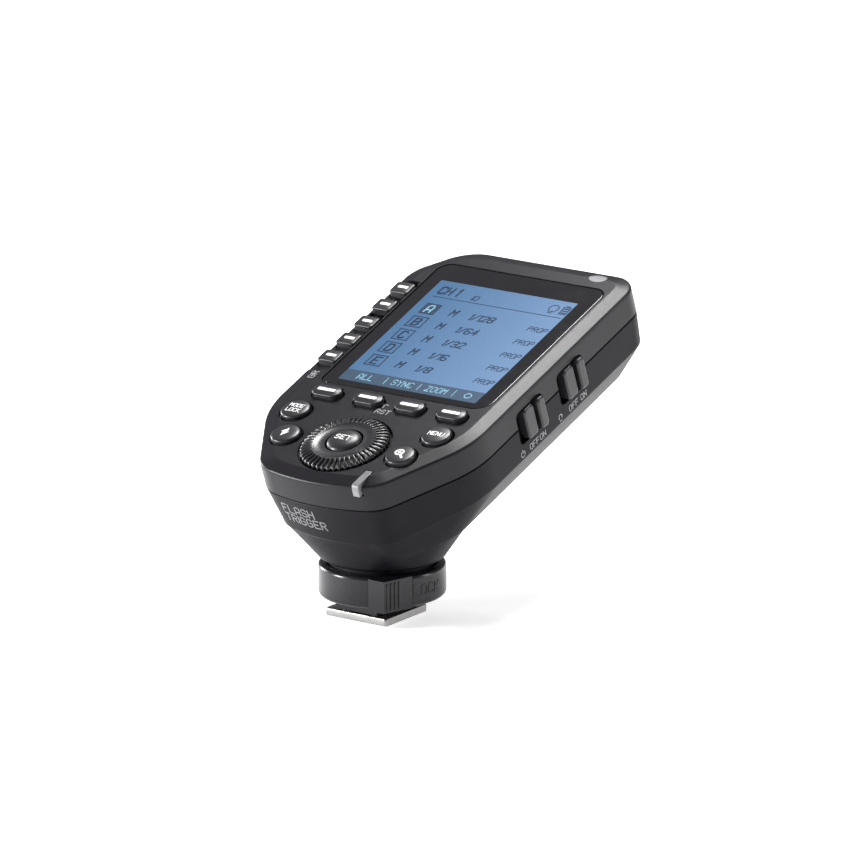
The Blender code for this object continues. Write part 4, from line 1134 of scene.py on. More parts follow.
    def upper(self) -> bpy.types.Object:
        """Make the upper half.

        Returns:
            The upper half, with its pockets and holes.
        """
        shoulder = ((-1.9, 0.0), (-1.5, 0.03), (-1.25, 0.11), (-1.05, 0.25), (-0.93, 0.46), (-0.86, 0.75),
                    (-0.07, 3.35), (-0.02, 3.6), (0.0, 3.9))
        piece = Blank().loft([self.wall_ring(self.parting + GAP / 2, 0.12),
                              self.wall_ring(self.parting + 0.3)]
                             + [self.wall_ring(level, inset) for level,
                                inset in shoulder]).build("upper_shell")
        work(piece, Blank().loft([self.wall_ring(self.parting - 1, self.wall),
                                  self.wall_ring(-self.skin - 0.5, self.wall),
                                  self.wall_ring(-self.skin, self.wall + 0.5)]), Joining.CUT)
        bosses = Blank()
        for place in self.screws:
            bosses.turned(place, [(2.3, -7.9), (2.3, -self.skin + 0.4)], 32)
        work(piece, bosses, Joining.ADD)
        plan = self.plan
        pockets = Blank()
        for place in self.screws:
            pockets.turned(place, [(1.25, -9.0), (1.25, -4.6)], 24)
        pockets.prism(rounded(self.window, -GAP / 2), -1.8, 1.0)
        pockets.prism([Vector((-33, 27.6)), Vector((-24.4, 27.6)), Vector((-24.4, 69.4)),
                       Vector((-33, 69.4))],
                      -1.5, 2.0)
        for place in plan.rounds.values():
            pockets.turned(place, [(plan.round_radius + 0.45, -plan.recess), (plan.round_radius + 0.9, 1.0)])
        for i in range(plan.function_count):
            pockets.prism(plan.function_outline(i, 0.55), -plan.recess, 1.0)
        pockets.turned((0, 0), [(plan.well_radius, -plan.well_depth), (plan.well_radius + 0.4, 1.0)], 96)
        work(piece, pockets, Joining.CUT)
        work(piece, self.pipe_channel(), Joining.CUT)
        holes = Blank().prism(rounded(self.window, 1.6), -6.0, 0.5)
        for place in plan.rounds.values():
            holes.turned(place, [(plan.round_radius + GAP, -6.0), (plan.round_radius + GAP, 0.5)])
        for i in range(plan.function_count):
            holes.prism(plan.function_outline(i, GAP), -6.0, 0.5)
        for i in range(len(plan.group_letters)):
            holes.prism(plan.group_outline(i, GAP), -6.0, 0.5)
        holes.turned((0, 0), [(plan.hub_radius + GAP, -6.0), (plan.hub_radius + GAP, 0.5)])
        work(piece, holes, Joining.CUT)
        work(piece, self.side_openings(), Joining.CUT)
        work(piece, self.key_marks(), Joining.CUT)
        break_edges(piece, 0.16)
        return piece

    def key_marks(self) -> Blank:
        """Small notches in the ledge beside each group key and above each function key."""
        tool = Blank()
        for i in range(len(self.plan.group_letters)):
            v = self.plan.group_first + i * self.plan.group_pitch
            tool.box((-24.6, v + 1.2, -1.2), (-24.05, v + 2.2, 1.0))
        for i in range(self.plan.function_count):
            u = self.plan.function_first + i * self.plan.function_pitch
            tool.box((u - 0.1 + 2.0, 20.6, -0.6), (u + 0.6 + 2.0, 21.5, 1.0))
        return tool

    def pipe_channel(self) -> Blank:
        """The channel for the light pipe, over the nose."""
        front, bottom = -15.0, -3.2
        shape = [Vector((-8.3 + GAP, 2.0)), Vector((front - 2, 2.0)), Vector((front - 2, bottom - GAP)),
                 Vector((front + 1.6 + GAP, bottom - GAP)), Vector((front + 1.6 + GAP, -1.5 - GAP)),
                 Vector((-8.3 + GAP, -1.3 - GAP))]
        half = 0.95 + GAP
        return Blank().loft([across(shape, self.pipe_u - half), across(shape, self.pipe_u + half)])

    def lower(self) -> bpy.types.Object:
        """Make the lower half.

        Returns:
            The lower half, with its neck and its openings.
        """
        piece = Blank().loft([
            self.belly_ring(1.0, 0.8), self.belly_ring(0.985, 0.3), self.belly_ring(0.95),
            self.belly_ring(0.6),
            self.belly_ring(0.3), self.belly_ring(0.07, 0.15), self.belly_ring(0.025, 0.12),
            self.hem_ring(0.0, 0.1), self.hem_ring(0.3, 0.03), self.hem_ring(0.7),
            self.wall_ring(self.parting - 0.3),
            self.wall_ring(self.parting - GAP / 2, 0.12)]).build("lower_shell")
        work(piece, self.neck(), Joining.ADD)
        middle = (0.0, self.ring_y)
        work(piece,
             Blank().loft(self.upright(circle(middle, self.boss_radius, 96), 4.9, self.neck_bottom + 1.5)),
             Joining.ADD)
        floor = [Vector((p.x, p.y, self.belly_level + 1.8)) for p in self.belly_ring(0.8, 2.0)]
        work(piece, Blank().loft([floor, self.hem_ring(0.0, self.wall + 0.2),
                                  self.wall_ring(self.parting + 1, self.wall)]), Joining.CUT)
        bosses, holes = Blank(), Blank()
        for place in self.screws:
            bosses.turned(place, [(2.3, -17.0), (2.3, -8.6)], 32)
            if place[1] > 50.0:
                holes.turned(place, [(2.0, -30.0), (2.0, -13.4)], 32)
            holes.turned(place, [(1.25, -13.5), (1.25, -6.0)], 24)
        work(piece, bosses, Joining.ADD)
        half, start, end = self.door
        holes.box((-half, start, self.belly_level - 2), (half, end, self.belly_level + 2.3))
        work(piece, holes, Joining.CUT)
        details = Blank()
        for side in (-1, 1):
            inner, outer = sorted((side * (half - 1.3), side * 18.6))
            details.box((inner, 79.0, self.belly_level + 0.3), (outer, 82.4, self.belly_level + 1.9))
        details.loft(self.upright(circle(middle, 3.0, 32), 3.0, 26.0))
        details.loft(self.upright(circle((0.0, 6.8), 2.4, 32), 3.0, 11.0))
        work(piece, details, Joining.CUT)
        work(piece, self.side_openings(), Joining.CUT)
        break_edges(piece, 0.2)
        return piece

    def seam(self) -> bpy.types.Object:
        """Make the tongue that closes the joint between the halves.

        Returns:
            The tongue, sunk in both walls.
        """
        level = self.parting
        piece = Blank().loft([self.wall_ring(level - 0.4, 0.5),
                              self.wall_ring(level + 0.4, 0.5)]).build("seam_tongue")
        work(piece, Blank().loft([self.wall_ring(level - 1, 1.5), self.wall_ring(level + 1, 1.5)]),
             Joining.CUT)
        work(piece, self.side_openings(), Joining.CUT)
        even_shading(piece)
        return piece

    def build(self, finishes: Finishes) -> dict[str, bpy.types.Object]:
        """Make both halves and dress them.

        Args:
            finishes: The finishes.

        Returns:
            The halves by name.
        """
        upper = fit(self.upper(), "housing", finishes.case, ["upper_case"])
        # The lower half wears the base plastic, whose darker colour is painted shade for the underside.
        lower = fit(self.lower(), "housing", finishes.base, ["lower_case"])
        fit(self.seam(), "housing", finishes.inner)
        return {"upper": upper, "lower": lower}


# ---------------------------------------------------------------- the display
@dataclass
class Display:
    """The window, the lit picture under it and what the picture shows."""

    printer: Printer
    window: Sequence[Corner]
    top: float = -0.05
    left: float = -19.5
    right: float = 22.0
    low: float = 25.2
    high: float = 71.7
    strip_high: float = 29.8
    rows: Sequence[tuple[str, str]] = (("A", "1/128"), ("B", "1/64"), ("C", "1/32"), ("D", "1/16"),
                                       ("E", "1/8"))
    row_first: float = 59.2
    row_pitch: float = 6.05

    def place(self, piece: bpy.types.Object, u: float, v: float, level: float,
              ink: bpy.types.Material) -> None:
        """Lay artwork on the picture.

        Args:
            piece: The artwork.
            u: Where it goes, to the right.
            v: Where it goes, up the face.
            level: How high it lies.
            ink: Its material.
        """
        self.printer.press(piece, Vector((u, v, level)), Vector((1, 0, 0)), Vector((0, 1, 0)), None)
        fit(piece, "housing", ink)

    def write(self, name: str, words: str, spot: tuple[float, float], size: float, ink: bpy.types.Material,
              slant: float = 0.28, bold: float = 0.0, anchor: Anchor = Anchor.MIDDLE,
              squeeze: float = 1.0) -> None:
        """Write words on the picture.

        Args:
            name: The piece's name.
            words: What they say.
            spot: Where they go, as u and v.
            size: The height of a line.
            ink: Their material.
            slant: How far the letters lean.
            bold: How much the strokes are thickened.
            anchor: Which end of the line stays put.
            squeeze: Their width against their normal width.
        """
        piece = self.printer.lettering(name, words, size, bold, slant, anchor, squeeze)
        self.place(piece, spot[0], spot[1], self.top + 0.06, ink)

    def build(self, finishes: Finishes) -> None:
        """Make the window, the picture and its lettering.

        Args:
            finishes: The finishes.
        """
        pane = Blank().loft([lift(rounded(self.window, GAP / 2), self.top - 1.5),
                             lift(rounded(self.window, GAP / 2), self.top - 0.2),
                             lift(rounded(self.window, GAP / 2 + 0.06), self.top - 0.06),
                             lift(rounded(self.window, GAP / 2 + 0.2), self.top)]).build("window_pane")
        even_shading(pane, 50.0)
        fit(pane, "housing", finishes.glass, ["display_window"])
        picture = Blank().prism(soft_rectangle((self.left, self.low), (self.right, self.high), 0.3, 3),
                                self.top - 0.1, self.top + 0.03).build("lit_picture")
        fit(picture, "housing", finishes.screen)
        strip = Blank().prism(soft_rectangle((self.left, self.low), (self.right, self.strip_high), 0.3, 3),
                              self.top - 0.1, self.top + 0.06).build("lit_strip")
        fit(strip, "housing", finishes.strip)
        self.header(finishes)
        self.groups(finishes)
        self.footer(finishes)

    def header(self, finishes: Finishes) -> None:
        """Draw the header line.

        Args:
            finishes: The finishes.
        """
        ink = finishes.screen_ink
        self.write("screen_channel", "CH 1", (-17.0, 67.6), 4.1, ink, 0.12, 0.16, Anchor.LEFT, 0.76)
        self.write("screen_id", "ID", (-5.7, 66.6), 2.4, ink, 0.12, 0.02)
        rule = self.printer.sign("screen_rule", pen([(-17.4, 0.0), (21.3, 0.0)], 0.2))
        self.place(rule, 0.0, 64.6, self.top + 0.06, ink)
        bulb = arc_pen((0.0, 0.3), 1.35, 0.26, -50.0, 230.0) + pen([(-0.85, -1.1), (0.85, -1.1)], 0.26)
        bulb += pen([(-0.6, -1.7), (0.6, -1.7)], 0.26)
        self.place(self.printer.sign("screen_lamp_sign", bulb), 17.1, 67.8, self.top + 0.06, ink)
        cell = pen([(-1.0, -1.6), (1.0, -1.6), (1.0, 1.4), (-1.0, 1.4)], 0.24, True)
        cell += pen([(-0.4, 1.9), (0.4, 1.9)], 0.4)
        cell += [r for k in range(3) for r in pen([(-0.55, -1.0 + 0.9 * k), (0.55, -1.0 + 0.9 * k)], 0.42)]
        self.place(self.printer.sign("screen_cell_sign", cell), 20.6, 67.8, self.top + 0.06, ink)

    def groups(self, finishes: Finishes) -> None:
        """Draw the five groups' rows.

        Args:
            finishes: The finishes.
        """
        ink = finishes.screen_ink
        for i, (letter, power) in enumerate(self.rows):
            v = self.row_first - i * self.row_pitch
            tag = letter.lower()
            box = soft_rectangle((-2.3, -2.35), (2.3, 2.35), 0.3, 2)
            if i == 0:
                shapes = [box]
            else:
                shapes = pen([(-2.2, -2.25), (2.2, -2.25), (2.2, 2.25), (-2.2, 2.25)], 0.3, True)
            self.place(self.printer.sign(f"screen_box_{tag}", shapes), -14.6, v, self.top + 0.06, ink)
            piece = self.printer.lettering(f"screen_letter_{tag}", letter, 4.0, 0.08, 0.12, squeeze=0.85)
            self.place(piece, -14.6, v - 0.05, self.top + 0.09, finishes.strip_ink if i == 0 else ink)
            self.write(f"screen_mode_{tag}", "M", (-7.2, v - 0.1), 3.5, ink, 0.18, 0.08, squeeze=0.85)
            self.write(f"screen_power_{tag}", power, (-1.9, v - 0.3), 3.3, ink, 0.18, 0.05, Anchor.LEFT, 0.88)
            self.write(f"screen_state_{tag}", "PROP", (15.9, v - 0.9), 2.6, ink, 0.18, -0.05, Anchor.LEFT,
                       0.82)

    def footer(self, finishes: Finishes) -> None:
        """Draw the strip that names the function keys.

        Args:
            finishes: The finishes.
        """
        middle = (self.low + self.strip_high) / 2
        for name, words, u in (("all", "ALL", -12.6), ("sync", "SYNC", -1.4), ("zoom", "ZOOM", 8.8)):
            piece = self.printer.lettering(f"screen_{name}", words, 2.9, 0.0, 0.1, squeeze=0.82)
            self.place(piece, u, middle, self.top + 0.09, finishes.strip_ink)
        for k, u in enumerate((-6.5, 3.6, 14.1)):
            line = self.printer.sign(f"screen_divider_{k + 1}", pen([(0.0, -1.3), (0.0, 1.3)], 0.2))
            self.place(line, u, middle, self.top + 0.09, finishes.strip_ink)
        ring = self.printer.sign("screen_lamp_ring", arc_pen((0, 0), 0.95, 0.28, steps=16))
        self.place(ring, 18.3, middle, self.top + 0.09, finishes.strip_ink)


# ---------------------------------------------------------------- the keys
@dataclass
class Keypad:
    """The group, function and round keys with their printing."""

    plan: KeyPlan
    printer: Printer
    group_top: float = 0.45
    function_top: float = 1.6
    round_top: float = 1.2
    flange: tuple[float, float] = (-3.8, -3.2)

    def cap(self, name: str, outline_at: Callable[[float], Ring], top: float, grow: float,
            crown: float) -> bpy.types.Object:
        """Make a key with a softly crowned top.

        Args:
            name: The piece's name.
            outline_at: Gives the key's outline, grown by an amount.
            top: Its highest level.
            grow: How far its flange stands out.
            crown: How far its rim lies below its middle.

        Returns:
            The key.
        """
        low, high = self.flange
        rings = [lift(outline_at(grow), low), lift(outline_at(grow), high),
                 lift(outline_at(0.0), high + 0.01)]
        rim = top - crown
        for inset, fall in ((0.0, 0.34), (0.03, 0.2), (0.1, 0.09), (0.22, 0.02), (0.34, 0.0)):
            rings.append(lift(outline_at(-inset), rim - fall))
        for share in (0.5, 0.8, 1.0):
            rings.append(lift(outline_at(-0.34 - 1.1 * share), rim + crown * share))
        piece = Blank().loft(rings).build(name)
        even_shading(piece, 50.0)
        return piece

    def round_key(self, name: str, place: tuple[float, float]) -> bpy.types.Object:
        """Make a round key with a domed top.

        Args:
            name: The piece's name.
            place: Its centre.

        Returns:
            The key.
        """
        low, high = self.flange
        r, top = self.plan.round_radius, self.round_top
        profile = [(r + 0.5, low), (r + 0.5, high), (r, high + 0.01), (r, top - 0.8), (r - 0.05, top - 0.56),
                   (r - 0.18, top - 0.36), (r - 0.42, top - 0.23), (r - 1.0, top - 0.12),
                   (r - 1.9, top - 0.04),
                   (r - 2.8, top - 0.01), (r - 3.4, top)]
        piece = Blank().turned(place, profile, 64).build(name)
        even_shading(piece, 50.0)
        return piece

    def print_on(self, key: bpy.types.Object, art: bpy.types.Object, place: tuple[float, float], body: str,
                 ink: bpy.types.Material) -> None:
        """Press artwork onto a key's top.

        Args:
            key: The key.
            art: The artwork.
            place: Where its middle goes.
            body: The body that it moves with.
            ink: Its material.
        """
        self.printer.press(art, Vector((*place, 1.0)), Vector((1, 0, 0)), Vector((0, 1, 0)), key)
        fit(art, body, ink)

    def signs(self) -> dict[str, list[Ring]]:
        """The drawn signs of the flash-test and zoom keys, about their own middles.

        Returns:
            Outlines by key.
        """
        bolt = [[Vector(p) for p in ((0.25, 1.75), (-1.15, -0.05), (-0.15, -0.05))],
                [Vector(p) for p in ((0.25, 1.75), (-0.15, -0.05), (0.5, 0.35))],
                [Vector(p) for p in ((-0.55, -0.35), (1.15, 0.35), (-0.35, -1.75))]]
        zoom = arc_pen((-0.35, 0.45), 1.05, 0.42, steps=24) + pen([(0.45, -0.4), (1.35, -1.4)], 0.6)
        zoom += pen([(-0.75, 0.45), (0.05, 0.45)], 0.34) + pen([(-0.35, 0.05), (-0.35, 0.85)], 0.34)
        return {"flash_test_button": bolt, "zoom_button": zoom}

    def build(self, finishes: Finishes) -> None:
        """Make every key and print on it.

        Args:
            finishes: The finishes.
        """
        plan = self.plan
        for name, place in plan.rounds.items():
            key = fit(self.round_key(f"{name}_cap", place), name, finishes.key, [name])
            if name in self.signs():
                self.print_on(key, self.printer.sign(f"{name}_sign", self.signs()[name]), place, name,
                              finishes.white)
        for name, lines, size in (("menu_button", ("MENU",), 1.9),
                                  ("mode_lock_button", ("MODE", "LOCK"), 1.75)):
            key = bpy.data.objects[f"{name}_cap"]
            u, v = plan.rounds[name]
            for k, words in enumerate(lines):
                art = self.printer.lettering(f"{name}_{words.lower()}", words, size, 0.04, squeeze=0.9)
                shift = (len(lines) - 1) * 0.98 - k * 1.96
                self.print_on(key, art, (u, v + shift), name, finishes.white)
        for i in range(plan.function_count):
            name = f"function_button_{i + 1}"
            key = self.cap(f"{name}_cap", lambda grow, i=i: plan.function_outline(i, grow),
                           self.function_top, 0.8, 0.25)
            fit(key, name, finishes.key, [name])
            u = plan.function_first + i * plan.function_pitch
            dash = self.printer.sign(f"{name}_dash", [soft_rectangle((-2.6, -0.52), (2.6, 0.52), 0.14, 3)])
            self.print_on(key, dash, (u, plan.function_v), name, finishes.white)
        for i, letter in enumerate(plan.group_letters):
            name = f"group_button_{letter}"
            key = self.cap(f"{name}_cap", lambda grow, i=i: plan.group_outline(i, min(grow, 0.0)),
                           self.group_top,
                           0.0, 0.12)
            fit(key, name, finishes.key, [name])
            v = plan.group_first + i * plan.group_pitch
            dash = self.printer.sign(f"{name}_dash", [soft_rectangle((-1.45, -0.48), (1.45, 0.48), 0.14, 3)])
            self.print_on(key, dash, (plan.group_u + 0.3, v), name, finishes.white)


@dataclass
class ControlDial:
    """The toothed dial and the key in its middle."""

    printer: Printer
    radius: float = 11.2
    teeth: int = 46
    disc: float = 7.7
    bore: float = 4.9
    top: float = 1.5
    hub: float = 6.3
    set_radius: float = 4.4
    set_top: float = 2.3

    def toothed(self, radius: float, depth: float, level: float, land: float = 0.30) -> Ring:
        """A toothed outline.

        Args:
            radius: The crests' radius.
            depth: The valleys' depth.
            level: Its height.
            land: Half a crest's share of a tooth.

        Returns:
            Its points.
        """
        parts = ((-0.5, 1.0), (-land - 0.1, 1.0), (-land, 0.25), (-land + 0.07, 0.0), (0.0, -0.02),
                 (land - 0.07, 0.0), (land, 0.25), (land + 0.1, 1.0))
        ring = []
        for i in range(self.teeth):
            for part, share in parts:
                angle = math.tau * (i + part) / self.teeth
                reach = radius - depth * share
                ring.append(Vector((reach * math.cos(angle), reach * math.sin(angle), level)))
        return ring

    def crest(self, radius: float, level: float, sink: float, land: float) -> Ring:
        """An outline on the dial's slope whose valleys are sunk straight down.

        Args:
            radius: Its radius.
            level: The crests' height.
            sink: How far the valleys lie below them.
            land: Half a crest's share of a tooth.

        Returns:
            Its points.
        """
        ring = self.toothed(radius, 0.0, level, land)
        for k, point in enumerate(ring):
            share = (1.0, 1.0, 0.3, 0.0, 0.0, 0.0, 0.3, 1.0)[k % 8]
            point.z = level - sink * share
        return ring

    def build(self, finishes: Finishes) -> None:
        """Make the dial and its key.

        Args:
            finishes: The finishes.
        """
        r = self.radius
        piece = Blank().loft([
            self.toothed(r - 0.1, 0.6, -0.6), self.toothed(r, 0.6, -0.45), self.toothed(r, 0.6, 0.4),
            self.crest(r - 0.14, 0.62, 0.25, 0.27), self.crest(r - 0.7, 0.98, 0.6, 0.24),
            self.crest(r - 1.8, 1.24, 0.7, 0.22), self.crest(r - 3.0, 1.42, 0.6, 0.2),
            self.crest(self.disc + 0.25, self.top - 0.04, 0.0, 0.22),
            self.crest(self.disc, self.top - 0.1, 0.0, 0.22),
            self.crest(self.disc - 0.3, self.top - 0.36, 0.0, 0.22),
            self.crest(5.6, self.top - 0.3, 0.0, 0.22),
        ]).build("dial_wheel")
        hub = Blank().turned((0, 0), [(self.hub, -4.9), (self.hub, 0.0)], 96)
        work(piece, hub, Joining.ADD)
        work(piece, Blank().turned((0, 0), [(self.bore, -6.0), (self.bore, 4.0)], 96), Joining.CUT)
        even_shading(piece, 50.0)
        fit(piece, "control_dial", finishes.dial, ["control_dial"])
        s, top = self.set_radius, self.set_top
        key = Blank().turned((0, 0), [
            (s, -3.9), (s, top - 1.5), (s - 0.05, top - 1.2), (s - 0.2, top - 0.9), (s - 0.5, top - 0.62),
            (s - 1.1, top - 0.34), (s - 1.9, top - 0.13), (s - 2.9, top - 0.02),
            (s - 3.8, top)]).build("set_key_cap")
        even_shading(key, 50.0)
        fit(key, "set_button", finishes.key, ["set_button"])
        word = self.printer.lettering("set_key_word", "SET", 2.3, 0.03, squeeze=1.0)
        self.printer.press(word, Vector((0, 0, 1.0)), Vector((1, 0, 0)), Vector((0, 1, 0)), key)
        fit(word, "set_button", finishes.white)


@dataclass
class SideSwitches:
    """The two slide knobs in the right-hand wall."""

    plan: KeyPlan
    wall: float = 31.0
    proud: float = 1.3
    length: float = 8.9
    pads: Sequence[tuple[float, float, float]] = ((0.28, 2.1, 0.55), (0.79, 1.5, 0.0))

    def knob(self, name: str, end: float) -> bpy.types.Object:
        """Make one knob, resting at the far end of its slot.

        Args:
            name: The piece's name.
            end: The slot's far end.

        Returns:
            The knob.
        """
        low = end - 0.35 - self.length
        base = soft_rectangle((low + 0.35, -12.65), (low + self.length - 0.35, -4.25), 1.25)
        piece = Blank().loft([across(base, 29.2), across(base, self.wall - 0.9)]).build(name)
        for share, half, sunk in self.pads:
            middle, top = low + self.length * share, self.wall + self.proud - sunk
            rings = []
            for inset, u in ((0.0, 29.5), (0.0, top - 0.62), (0.05, top - 0.38), (0.18, top - 0.16),
                             (0.38, top - 0.03), (0.6, top)):
                rings.append(across(soft_rectangle((middle - half + inset, -12.6 + inset),
                                                   (middle + half - inset, -4.3 - inset), 0.9), u))
            work(piece, Blank().loft(rings), Joining.ADD)
        apron = Blank()
        apron.box((28.0, low - 2.7, -13.7), (28.4, low + self.length + 0.9, -3.3))
        work(piece, apron, Joining.ADD)
        stem = Blank()
        stem.box((28.2, low + 1.5, -10.5), (29.6, low + self.length - 1.5, -6.5))
        work(piece, stem, Joining.ADD)
        even_shading(piece, 50.0)
        return piece

    def build(self, finishes: Finishes) -> None:
        """Make both knobs.

        Args:
            finishes: The finishes.
        """
        for name, (_, end) in self.plan.slots.items():
            fit(self.knob(f"{name}_pad", end), name, finishes.key, [name])


# ---------------------------------------------------------------- light pipe and lamp
@dataclass
class LightsAndPorts:
    """The status light pipe, the lamp at the raised end and the port cover."""

    pipe_u: float = 13.0

    def pipe(self) -> bpy.types.Object:
        """Make the bent light pipe.

        Returns:
            The pipe.
        """
        front = -15.0
        outer = [(-8.3, 0.06), (front + 1.0, 0.06), (front + 0.6, -0.04), (front + 0.25, -0.4),
                 (front + 0.06, -0.9),
                 (front, -1.4), (front, -3.2)]
        inner = [(front + 1.6, -3.2), (front + 1.6, -1.5), (-8.3, -1.3)]
        shape = [Vector(point) for point in outer + inner]
        piece = Blank().loft([across(shape, self.pipe_u - 0.95), across(shape, self.pipe_u + 0.95)])
        made = piece.build("light_pipe_bent")
        break_edges(made, 0.1, 2, 50.0)
        return made

    def build(self, finishes: Finishes) -> None:
        """Make the pieces and dress them.

        Args:
            finishes: The finishes.
        """
        fit(self.pipe(), "housing", finishes.pipe, ["status_light_pipe"])
        rings = []
        for v, inset in ((84.4, 0.0), (86.3, 0.0), (86.55, 0.08), (86.72, 0.24), (86.8, 0.5)):
            outline = soft_rectangle((-9.0 + inset, -14.3 + inset), (9.0 - inset, -9.2 - inset), 1.5)
            rings.append(along_v(outline, v))
        lens = Blank().loft(rings).build("lamp_lens")
        even_shading(lens, 50.0)
        fit(lens, "housing", finishes.red, ["assist_lamp_lens"])
        outline = soft_rectangle((40.1, -14.0), (56.9, -8.3), 1.0)
        inner = soft_rectangle((40.25, -13.85), (56.75, -8.45), 0.9)
        cover = Blank().loft([across(outline, -30.7), across(outline, -30.92), across(inner, -31.0)])
        cover = cover.build("port_flap")
        tab = Blank()
        for k in range(3):
            tab.box((-31.2, 46.3 + 1.6 * k, -9.6), (-30.93, 47.1 + 1.6 * k, -8.7))
        work(cover, tab, Joining.CUT)
        even_shading(cover, 50.0)
        fit(cover, "port_cover", finishes.rubber, ["port_cover"])


# ---------------------------------------------------------------- ring and foot
@dataclass
class RingAndFoot:
    """The lock ring with its thumb lug, and the metal foot."""

    printer: Printer
    ring_y: float = 2.5
    radius: float = 15.8
    bore: float = 13.5
    low: float = 4.9
    high: float = 12.9
    lug: Sequence[tuple[float, float]] = ((7.2, -13.2), (11.9, -13.1), (14.4, -4.8), (12.0, -2.0),
                                          (6.0, -10.0))
    foot: tuple[float, float, float] = (9.3, 8.6, 2.0)
    window: tuple[float, float] = (6.0, 5.1)
    pin: tuple[float, float] = (0.0, 6.8)
    screws: Sequence[tuple[float, float]] = ((-4.4, -6.7), (4.4, -6.7), (-4.4, 6.7), (4.4, 6.7))

    def ring(self) -> bpy.types.Object:
        """Make the lock ring.

        Returns:
            The ring.
        """
        axis = (0.0, self.ring_y)
        r, low, high = self.radius, self.low, self.high
        profile = [(r - 0.9, low), (r - 0.5, low + 0.12), (r - 0.2, low + 0.4), (r - 0.03, low + 0.8),
                   (r, low + 1.1),
                   (r, high - 1.0), (r - 0.05, high - 0.62), (r - 0.22, high - 0.28), (r - 0.5, high - 0.08),
                   (r - 0.8, high)]
        piece = Blank(Setting.SHOE).turned(axis, profile, 128).build("lock_collar")
        corners = [Vector(p) for p in self.lug]
        work(piece, Blank(Setting.SHOE).prism(corners, low, high + 0.05), Joining.ADD)
        start, end = corners[1], corners[2]
        ribs = Blank(Setting.SHOE)
        for k in range(4):
            ribs.turned(start.lerp(end, 0.12 + 0.14 * k),
                        [(0.2, low + 0.6), (0.34, low + 0.8), (0.34, high - 0.8), (0.2, high - 0.6)], 16)
        work(piece, ribs, Joining.ADD)
        bore = Blank(Setting.SHOE)
        bore.turned(axis, [(self.bore, 2.0), (self.bore, high - 0.9), (self.bore + 1.3, high + 2.1)], 96)
        work(piece, bore, Joining.CUT)
        grooves = Blank(Setting.SHOE)
        for angle in (-66.0, -26.0):
            spot = Vector((math.cos(math.radians(angle)), math.sin(math.radians(angle)))) * (r + 0.1)
            grooves.turned((spot.x, spot.y + self.ring_y), [(0.22, low - 1), (0.22, high + 1)], 12)
        work(piece, grooves, Joining.CUT)
        break_edges(piece, 0.22, 2, 45.0)
        return piece

    def plate(self) -> bpy.types.Object:
        """Make the metal foot plate.

        Returns:
            The plate.
        """
        half_x, half_y, thick = self.foot
        corners = [(half_x, half_y, 0.8), (-half_x, half_y, 0.8), (-half_x, -half_y, 0.8),
                   (half_x, -half_y, 0.8)]
        rings = []
        for inset, z in ((0.3, 0.0), (0.1, 0.08), (0.0, 0.28), (0.0, thick - 0.28), (0.1, thick - 0.08),
                         (0.3, thick)):
            rings.append(lift(rounded(corners, inset, 6), z))
        piece = Blank(Setting.SHOE).loft(rings).build("foot_sheet")
        wide, deep = self.window
        holes = Blank(Setting.SHOE).box((-wide, -deep, -1.0), (wide, deep, 5.0))
        holes.turned(self.pin, [(1.3, -1.0), (1.3, 5.0)], 32)
        for place in self.screws:
            holes.turned(place, [(1.7, -1.0), (1.7, 0.9)], 32)
            holes.turned(place, [(1.0, 0.5), (1.0, 5.0)], 24)
        work(piece, holes, Joining.CUT)
        even_shading(piece, 50.0)
        return piece

    def build(self, finishes: Finishes) -> None:
        """Make the ring and the foot and dress them.

        Args:
            finishes: The finishes.
        """
        ring = fit(self.ring(), "lock_ring", finishes.ring, ["lock_ring"])
        fit(self.plate(), "housing", finishes.nickel, ["foot_plate"])
        self.word(ring, finishes)

    def word(self, ring: bpy.types.Object, finishes: Finishes) -> None:
        """Raise the word on the ring, to the right of the lug.

        Args:
            ring: Not used.
            finishes: The finishes.
        """
        art = self.printer.lettering("ring_word", "LOCK", 3.4, 0.05)
        middle_z = (self.low + self.high) / 2
        for vertex in art.data.vertices:
            angle = math.radians(-9.0) + vertex.co.x / MM / self.radius
            reach = self.radius + (0.12 if vertex.co.z > 0.5 else -0.1)
            spot = Vector((reach * math.cos(angle), self.ring_y + reach * math.sin(angle), middle_z))
            vertex.co = (spot + Vector((0, 0, vertex.co.y / MM))) * MM
        art.matrix_world = Matrix.Identity(4)
        fit(art, "lock_ring", finishes.ring)


